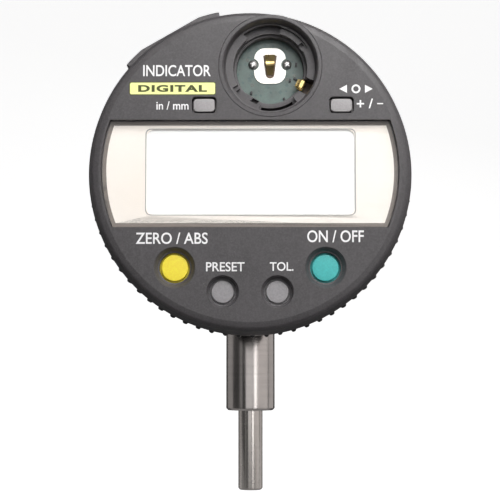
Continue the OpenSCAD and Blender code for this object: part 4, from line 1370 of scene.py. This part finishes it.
@dataclass
class Legends:
    """The printed words and signs, and the generic label."""

    label_at: Point2 = (-14.2, 15.1)
    label_size: tuple[float, float] = (15.6, 2.15)

    def words(self) -> list[Mesh]:
        """The white words and signs on the face."""
        rows = [("ZERO / ABS", (-14.25, -12.45), 13.1, 2.1), ("ON / OFF", (15.55, -12.1), 10.3, 2.2),
                ("PRESET", (-4.5, -17.65), 7.0, 1.7), ("TOL.", (5.75, -17.6), 4.3, 1.6),
                ("in / mm", (-14.2, 11.95), 5.9, 1.55), ("+", (20.2, 12.25), 1.35, 1.35),
                ("/", (22.1, 12.3), 0.8, 1.8), ("INDICATOR", (-13.4, 18.4), 12.4, 2.1)]
        made = [lettered(text, at, width, height, FACE, 0.012) for text, at, width, height in rows]
        made.append(block("minus", (23.25, 12.16, FACE), (24.35, 12.38, FACE + 0.02)))
        return made

    def arrows(self) -> list[Mesh]:
        """The two arrows and the ring between them."""
        low, high = FACE, FACE + 0.02
        left = [(16.35, 15.0), (17.75, 14.25), (17.75, 15.75)]
        right = [(22.45, 15.0), (21.05, 15.75), (21.05, 14.25)]
        ring = turned("ring", [(0.5, low), (0.82, low), (0.82, high), (0.5, high)], 40, (19.4, 15.0))
        return [prism("arrow", left, low, high), prism("arrow", right, low, high), ring]

    def build(self) -> None:
        """Makes the ink and the label."""
        marks = joined("legends", self.words() + self.arrows())
        piece("legends", marks, Rides.HEAD, "ink")
        label = prism("label", rectangle(*self.label_size, 0.3, self.label_at), FACE, FACE + 0.02)
        piece("label", label, Rides.HEAD, "label")
        w, h = (side + 0.3 for side in self.label_size)
        edge = prism("label_edge", rectangle(w, h, 0.4, self.label_at), FACE, FACE + 0.01)
        piece("label_edge", edge, Rides.HEAD, "label_text")
        word = lettered("DIGITAL", self.label_at, 12.6, 1.3, FACE + 0.02, 0.045, 1.15)
        piece("label_word", word, Rides.HEAD, "label_text")


@dataclass
class Window:
    """The lens, and a thin grey ring of painted shadow where the silver plate ends at the blank display.
    """

    edge_gap: float = 0.15
    lens_edge: float = 0.22
    # Width of the ring of painted shadow round the display.
    line: float = 0.36
    display: tuple[float, float] = (38.3, 15.7)

    def build(self, bezel: FrontBezel) -> None:
        """Makes the lens, and the fine ring of painted shadow round the display.

        Args:
            bezel: The bezel whose recess holds the window.
        """
        lens = prism("window_lens", bezel.window_outline(self.edge_gap), level("window_lens", False),
                     level("window_lens", True), self.lens_edge)
        piece("window_lens", lens, Rides.HEAD, "lens", ["window_lens"], even=True, crease=20.0)
        sheet = level("display_plate", True)
        # A thin grey ring on the plate paints the shadow at the edge of its opening round the display.
        w, h = self.display
        ring = prism("display_edge", rectangle(w + self.line, h + self.line, 1.0, bezel.lcd_at), sheet,
                     sheet + 0.03)
        hole = prism("hole", rectangle(w, h, 0.9, bezel.lcd_at), sheet - 1, sheet + 1)
        piece("display_edge", carved(ring, takes(hole)), Rides.HEAD, "edge")


@dataclass
class RearCase:
    """The drum behind the head, its cover with the lug, the cap and their screws."""

    radius: float = 28.6
    wall: float = 2.0
    reach: float = 29.0
    stem_boss_r: float = 6.2625
    cap_boss_r: float = 6.0
    cap_r: float = 5.0
    cap_thread_r: float = 3.8
    screw_ring: float = 24.7
    lug: float = 6.3
    lug_hole: float = 3.25
    lug_reach: float = 8.8

    def drum(self) -> Mesh:
        """The case: a cup with a hub, and a boss above and below."""
        r, inner = self.radius, self.radius - self.wall
        front = CASE_FRONT
        shell = turned("drum", rounded([
            (inner, CASE_RIM, 0.1), (r, CASE_RIM, 0.2), (r, front, 0.5), (12, front, 0),
            (12, front + 2.1, 0.1), (5, front + 2.1, 0.1), (5, front - self.wall, 0),
            (inner, front - self.wall, 0.4)], steps=4), 192)
        steps = []
        for boss_r, up, bore in ((self.stem_boss_r, False, 4.6), (self.cap_boss_r, True, 3.85)):
            boss = turned("boss", rounded([(bore, 21, 0), (boss_r, 21, 0), (boss_r, self.reach, 0.25),
                                           (bore, self.reach, 0.1)], steps=4), 72)
            hole = turned("bore", [(0, 20), (bore, 20), (bore, 30), (0, 30)], 72)
            steps += [(Cut.TAKE, lying(hole, up)), (Cut.JOIN, lying(boss, up))]
        return carved(shell, steps)

    def cover(self) -> Mesh:
        """The back cover with its raised centre and the lug."""
        front = COVER_FRONT
        back = front - 2.0
        disc = turned("cover", rounded([
            (0, back - 1.2, 0), (11, back - 1.2, 0.3), (11.2, back, 0.2), (self.radius, back, 0.6),
            (self.radius, front, 0.1), (0, front, 0)], closed=False, steps=4), 192)
        reach = self.lug_reach + 0.6
        ear = [(-6.5, 0.0), (6.5, 0.0), *arc((0, reach), 6.5, 0, 180, 36)]
        lug = prism("lug", ear, -self.lug / 2, self.lug / 2)
        bm = bmesh.new()
        bm.from_mesh(lug)
        rims = [e for e in bm.edges if abs(e.verts[0].co.z - e.verts[1].co.z) < 1e-6]
        bmesh.ops.bevel(bm, geom=rims, offset=0.35, segments=3, profile=0.5, affect="EDGES")
        bm.to_mesh(lug)
        bm.free()
        stand = Matrix(((0, 0, 1, 0), (1, 0, 0, 0), (0, -1, 0, back + 0.6), (0, 0, 0, 1)))
        bore = turned("bore", rounded([(0, -5, 0), (self.lug_hole + 1.85, -5, 0),
                                       (self.lug_hole, -self.lug / 2 + 0.3, 0),
                                       (self.lug_hole, self.lug / 2 - 0.3, 0),
                                       (self.lug_hole + 1.85, 5, 0), (0, 5, 0)]), 72)
        across = Matrix.Translation((0, 0, back - self.lug_reach)) @ Matrix.Rotation(math.pi / 2, 4, "Y")
        profile = [(0, back - 1), (2.15, back - 1), (2.0, back + 1), (1.1, back + 1), (1.1, front + 1),
                   (0, front + 1)]
        sinks = [turned("sink", profile, 48, polar(angle, self.screw_ring))
                 for angle in range(45, 360, 90)]
        return carved(disc, [(Cut.JOIN, moved(lug, stand)), *takes(moved(bore, across), *sinks)])

    def cross_screw(self, head_r: float, head_h: float, shank_r: float, length: float) -> Mesh:
        """A cross-recess screw with its head's top at z = 0, pointing away from -z."""
        body = turned("screw", rounded([(0, 0, 0), (head_r - 0.1, 0.02, 0.1), (head_r, 0.2, 0.1),
                                        (head_r, head_h, 0), (shank_r, head_h, 0), (shank_r, length, 0.2),
                                        (0, length, 0)], closed=False, steps=3), 40)
        w = head_r * 0.56
        return carved(body, takes(block("cross", (-w, -w / 5, -1), (w, w / 5, head_h * 0.6)),
                                  block("cross", (-w / 5, -w, -1), (w / 5, w, head_h * 0.6))))

    def cap(self) -> Mesh:
        """The cap over the spindle's top, with a shallow grip groove."""
        foot, top = self.reach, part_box("top_cap")[1].z / MM - HEAD_AXIS
        r, bore = self.cap_r, 2.8
        outline = rounded([
            (bore, foot - 3, 0), (self.cap_thread_r, foot - 3, 0), (self.cap_thread_r, foot, 0),
            (r, foot, 0.1), (r, foot + 1.1, 0.1), (r - 0.22, foot + 1.25, 0.1),
            (r - 0.22, foot + 1.6, 0.1), (r, foot + 1.75, 0.1), (r, top, 0.9), (0, top, 0),
            (0, top - 1, 0), (bore, top - 1, 0)], steps=5)
        return lying(turned("top_cap", outline, 96), True)

    def build(self) -> None:
        """Makes the case's outside pieces."""
        piece("rear_case", self.drum(), Rides.CASE, "case", ["rear_case"], even=True)
        piece("back_cover", self.cover(), Rides.CASE, "case", ["back_cover"], even=True)
        piece("top_cap", self.cap(), Rides.CASE, "case", ["top_cap"])
        back = COVER_FRONT - 2.0 + 0.1
        places = [(*polar(a, self.screw_ring), back) for a in range(45, 360, 90)]
        screws = copies_at("back_screws", self.cross_screw(1.9, 0.9, 0.8, 6.1), places,
                           LOOKS["black_screw"], 1.5, 7)
        piece("back_screws", screws, Rides.CASE, "black_screw", ["back_screws"])


@dataclass
class StemAndSpindle:
    """The clamping stem and the measuring spindle."""

    stem_r: float = 4.7625
    neck_r: float = 4.5025
    bore_r: float = 3.6025
    lip_r: float = 2.63
    length: float = 15.4
    chamfer: float = 0.4
    spindle_r: float = 2.38
    thread_r: float = 1.16

    def build(self) -> None:
        """Makes both, turned."""
        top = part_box("stem")[1].z / MM
        stem = rounded([(self.lip_r, 0, 0.1), (self.stem_r - self.chamfer, 0, 0.1),
                        (self.stem_r, self.chamfer, 0.12), (self.stem_r, self.length, 0.05),
                        (self.neck_r, self.length, 0), (self.neck_r, top, 0), (self.bore_r, top, 0),
                        (self.bore_r, 1.2, 0), (self.lip_r, 1.2, 0)], steps=3)
        piece("stem", turned("stem", stem, 144), Rides.CASE, "stem", ["stem"], Place.ROW)
        low, high = (corner.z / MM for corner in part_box("spindle"))
        r = self.spindle_r
        bar = rounded([(self.thread_r, low, 0.06), (r - 0.3, low, 0.08), (r, low + 0.3, 0.1),
                       (r, high - 0.3, 0.1), (r - 0.3, high, 0.05), (0, high, 0), (0, low + 6.5, 0),
                       (self.thread_r, low + 6.3, 0)], steps=3)
        piece("spindle", turned("spindle", bar, 112), Rides.SPINDLE, "spindle",
              ["spindle"], Place.ROW)


@dataclass
class HeadBack:
    """The head's back plate with its screws, and the connector's cover."""

    radius: float = 29.6
    hub_r: float = 12.06
    groove_r: float = 20.5
    groove_w: float = 2.2
    groove_depth: float = 0.7
    groove_span: float = 167.8
    posts: tuple[tuple[float, float], ...] = ((31.4, 25.0), (148.6, 25.0), (214.1, 23.5), (325.9, 23.5))

    def plate(self) -> Mesh:
        """The plate with its stop groove and countersinks."""
        disc = turned("head_back_plate", rounded([
            (self.hub_r, PLATE_BACK, 0.1), (self.radius, PLATE_BACK, 0.3),
            (self.radius, PLATE_FRONT, 0.1), (self.hub_r, PLATE_FRONT, 0.1)], steps=4), 192)
        start, end, half = 270 - self.groove_span, 270 + self.groove_span, self.groove_w / 2
        groove = arc((0, 0), self.groove_r + half, start, end, 90)
        groove += arc((0, 0), self.groove_r - half, end, start, 90)
        floor = PLATE_BACK + self.groove_depth
        profile = [(0, PLATE_BACK - 1), (1.6, PLATE_BACK - 1), (1.6, floor), (0.9, floor),
                   (0.9, PLATE_FRONT + 1), (0, PLATE_FRONT + 1)]
        sinks = [turned("sink", profile, 40, polar(angle, r)) for angle, r in self.posts]
        return carved(disc, takes(prism("groove", groove, PLATE_BACK - 1, floor), *sinks))

    def build(self, bezel: FrontBezel, case: RearCase) -> None:
        """Makes the plate, its screws and the port's cover.

        Args:
            bezel: The bezel, for the port's place.
            case: The rear case, for its screw's shape.
        """
        piece("head_back_plate", self.plate(), Rides.HEAD, "case", ["head_back_plate"],
              even=True)
        places = [(*polar(a, r), PLATE_BACK + 0.05) for a, r in self.posts]
        screws = copies_at("head_screws", case.cross_screw(1.5, 0.65, 0.8, 5.6), places,
                           LOOKS["black_screw"], 1.5, 11)
        piece("head_screws", screws, Rides.HEAD, "black_screw", ["head_screws"])
        w, h = bezel.port_size
        middle = BOARD_BACK - bezel.port_drop - h / 2
        flat = bezel.port_flat
        cover = block("cover", (flat - 1.5, -w / 2 + 0.15, middle - h / 2 + 0.15),
                      (flat + 0.2, w / 2 - 0.15, middle + h / 2 - 0.15), 0.18)
        grip = [block("line", (flat + 0.08, -w / 2 + 1.2 + i * 0.9, middle - 1.1),
                      (flat + 1, -w / 2 + 1.5 + i * 0.9, middle + 1.1)) for i in range(10)]
        cover = moved(carved(cover, takes(*grip)), set_at((0, 0), bezel.port_angle))
        piece("connector_cap", cover, Rides.PORT, "port", ["connector_cap"])


@dataclass
class Works:
    """The inner nodes, which keep their own shapes and get their finishes here."""

    finishes: dict[str, str] = field(default_factory=lambda: {
        "lower_bush": "bronze", "upper_bush": "bronze", "stem_nut": "plain", "bump_washer": "rubber",
        "upper_bracket": "milled", "bracket_screws": "screw", "guide_rail": "milled",
        "detector_board": "sensor_board", "detector_plate": "scale", "detector_screws": "screw",
        "signal_flex": "film", "flex_plug": "plug", "back_gasket": "rubber", "head_retainer": "plain",
        "retainer_screws": "screw", "spring_washer": "plain", "dust_seal": "rubber", "stop_pin": "plain",
        "return_spring": "wire", "carrier_block": "milled", "carrier_screw": "screw", "guide_pin": "plain",
        "encoder_scale": "scale", "window_frame": "border", "display_plate": "silver", "lcd_glass": "lcd",
        "lcd_reflector": "reflector", "lcd_frame": "white_frame", "contact_strips": "strip",
        "main_board": "board", "processor_chip": "chip", "board_parts": "component",
        "board_screws": "screw", "key_mat": "silicone", "upper_key_pads": "silicone",
        "output_connector": "port", "flex_coil": "film"})

    def build(self) -> None:
        """Gives every node that is still shown its finish."""
        for name, finish in self.finishes.items():
            mesh = frame["nodes"][name].data
            mesh.materials.clear()
            mesh.materials.append(LOOKS[finish])
            LOG.info("%s dressed as %s", name, finish)


@dataclass(frozen=True)
class Panel:
    """A soft panel of light that faces the head.

    The azimuth is in degrees to the right of the camera's side, the distance is
    over the floor, the height is above the stem's end, and a glare of 1 is white.
    """

    name: str
    azimuth: float
    distance: float
    height: float
    size: tuple[float, float]
    glare: float
    colour: Colour = (1, 1, 1)

    def build(self) -> None:
        """Makes the light."""
        data = bpy.data.lights.new(self.name, "AREA")
        data.shape = "RECTANGLE"
        data.size, data.size_y = self.size
        data.energy = self.glare * math.pi * self.size[0] * self.size[1]
        data.color = self.colour
        made = bpy.data.objects.new(self.name, data)
        made.location = (*polar(self.azimuth - 90, self.distance), self.height)
        aim = Vector((0, 0, HEAD_AXIS * MM)) - made.location
        made.rotation_mode = "QUATERNION"
        made.rotation_quaternion = aim.to_track_quat("-Z", "Y")
        made.visible_camera = False
        bpy.context.scene.collection.objects.link(made)


@dataclass
class Studio:
    """The pale floor, the soft lights and the camera."""

    floor: float = -0.024
    camera_at: Colour = (0.00092, -0.2604, 0.01005)
    pitch: float = 3.42
    yaw: float = -0.222
    lens: float = 94.94
    shift: float = 0.06
    ambient: float = 0.06
    glow: float = 0.8
    panels: tuple[Panel, ...] = (
        Panel("key", 14, 0.18, 0.19, (0.16, 0.16), 7.4, (1.0, 0.995, 0.985)),
        Panel("strip", 24, 0.6, 0.13, (0.15, 0.56), 2.5),
        Panel("left_front", -5, 0.6, 0.13, (0.38, 0.56), 0.8),
        Panel("left_side", -45, 0.6, 0.13, (0.15, 0.56), 0.22),
        Panel("right", 62, 0.5, 0.13, (0.58, 0.52), 0.68, (1.0, 0.97, 0.95)),
        Panel("right_back", 118, 0.5, 0.13, (0.4, 0.52), 0.5, (1.0, 0.97, 0.96)),
        Panel("left_back", -113, 0.5, 0.13, (0.42, 0.52), 0.3, (1.0, 0.98, 0.97)),
        Panel("behind", 165, 0.6, 0.55, (0.5, 0.3), 2.2),
        Panel("under", 0, 0.0, floor + 0.001, (0.24, 0.05), 0.25))

    def camera(self) -> None:
        """Sets the camera below the head's centre, tilted up a little."""
        data = bpy.data.cameras.new("camera")
        data.lens = self.lens
        data.shift_y = self.shift
        data.clip_start, data.clip_end = 0.01, 20
        made = bpy.data.objects.new("camera", data)
        made.location = self.camera_at
        made.rotation_euler = (math.radians(90 + self.pitch), 0, math.radians(-self.yaw))
        bpy.context.scene.collection.objects.link(made)
        bpy.context.scene.camera = made

    def sweep(self) -> None:
        """Makes the floor, and the wall that it curves into far behind."""
        back, bend, high, side = 0.9, 0.35, 1.4, 2.5
        curve = [(back - bend + x, self.floor + bend + y)
                 for x, y in (polar(a, bend) for a in range(-90, 1, 10))]
        s = Shader("floor_paper")
        soft = s.noise(9, 3)
        s.set(Base_Color=s.mix(soft, (0.93, 0.93, 0.93), (0.96, 0.96, 0.96)), Roughness=0.9)
        s.set(Specular_IOR_Level=0.1, Emission_Color=(1, 1, 1), Emission_Strength=self.glow)
        for name, line in (("floor", [(-2.0, self.floor), curve[0]]), ("wall", curve + [(back, high)])):
            mesh = bpy.data.meshes.new(name)
            points = [(s * side, y, z) for y, z in line for s in (-1, 1)]
            faces = [(2 * i, 2 * i + 1, 2 * i + 3, 2 * i + 2) for i in range(len(line) - 1)]
            mesh.from_pydata(points, [], faces)
            mesh.polygons.foreach_set("use_smooth", [True] * len(mesh.polygons))
            mesh.materials.append(s.material)
            made = scene_object(mesh)
            made.visible_diffuse = False
            made.visible_glossy = False

    def build(self) -> None:
        """Makes the stage."""
        scene = bpy.context.scene
        scene.view_settings.view_transform = "Standard"
        world = bpy.data.worlds.new("studio")
        scene.world = world
        world.use_nodes = True
        nodes, links = world.node_tree.nodes, world.node_tree.links
        seen = nodes.new("ShaderNodeLightPath")
        strength = nodes.new("ShaderNodeMapRange")
        strength.inputs["To Min"].default_value = self.ambient
        nodes["Background"].inputs[0].default_value = (1, 1, 1, 1)
        links.new(seen.outputs["Is Camera Ray"], strength.inputs["Value"])
        links.new(strength.outputs[0], nodes["Background"].inputs[1])
        self.camera()
        self.sweep()
        for panel in self.panels:
            panel.build()


def main() -> None:
    """Builds the indicator, piece by piece."""
    logging.basicConfig(level=logging.INFO, format="%(message)s")
    Studio().build()
    bezel, buttons, case = FrontBezel(), Buttons(), RearCase()
    builders: list[Callable[[], None]] = [
        lambda: bezel.build(buttons), GripRing().build, lambda: buttons.build(bezel), Legends().build,
        lambda: Window().build(bezel), case.build, StemAndSpindle().build,
        lambda: HeadBack().build(bezel, case), Works().build]
    for build in builders:
        build()


if __name__ == "__main__":
    main()
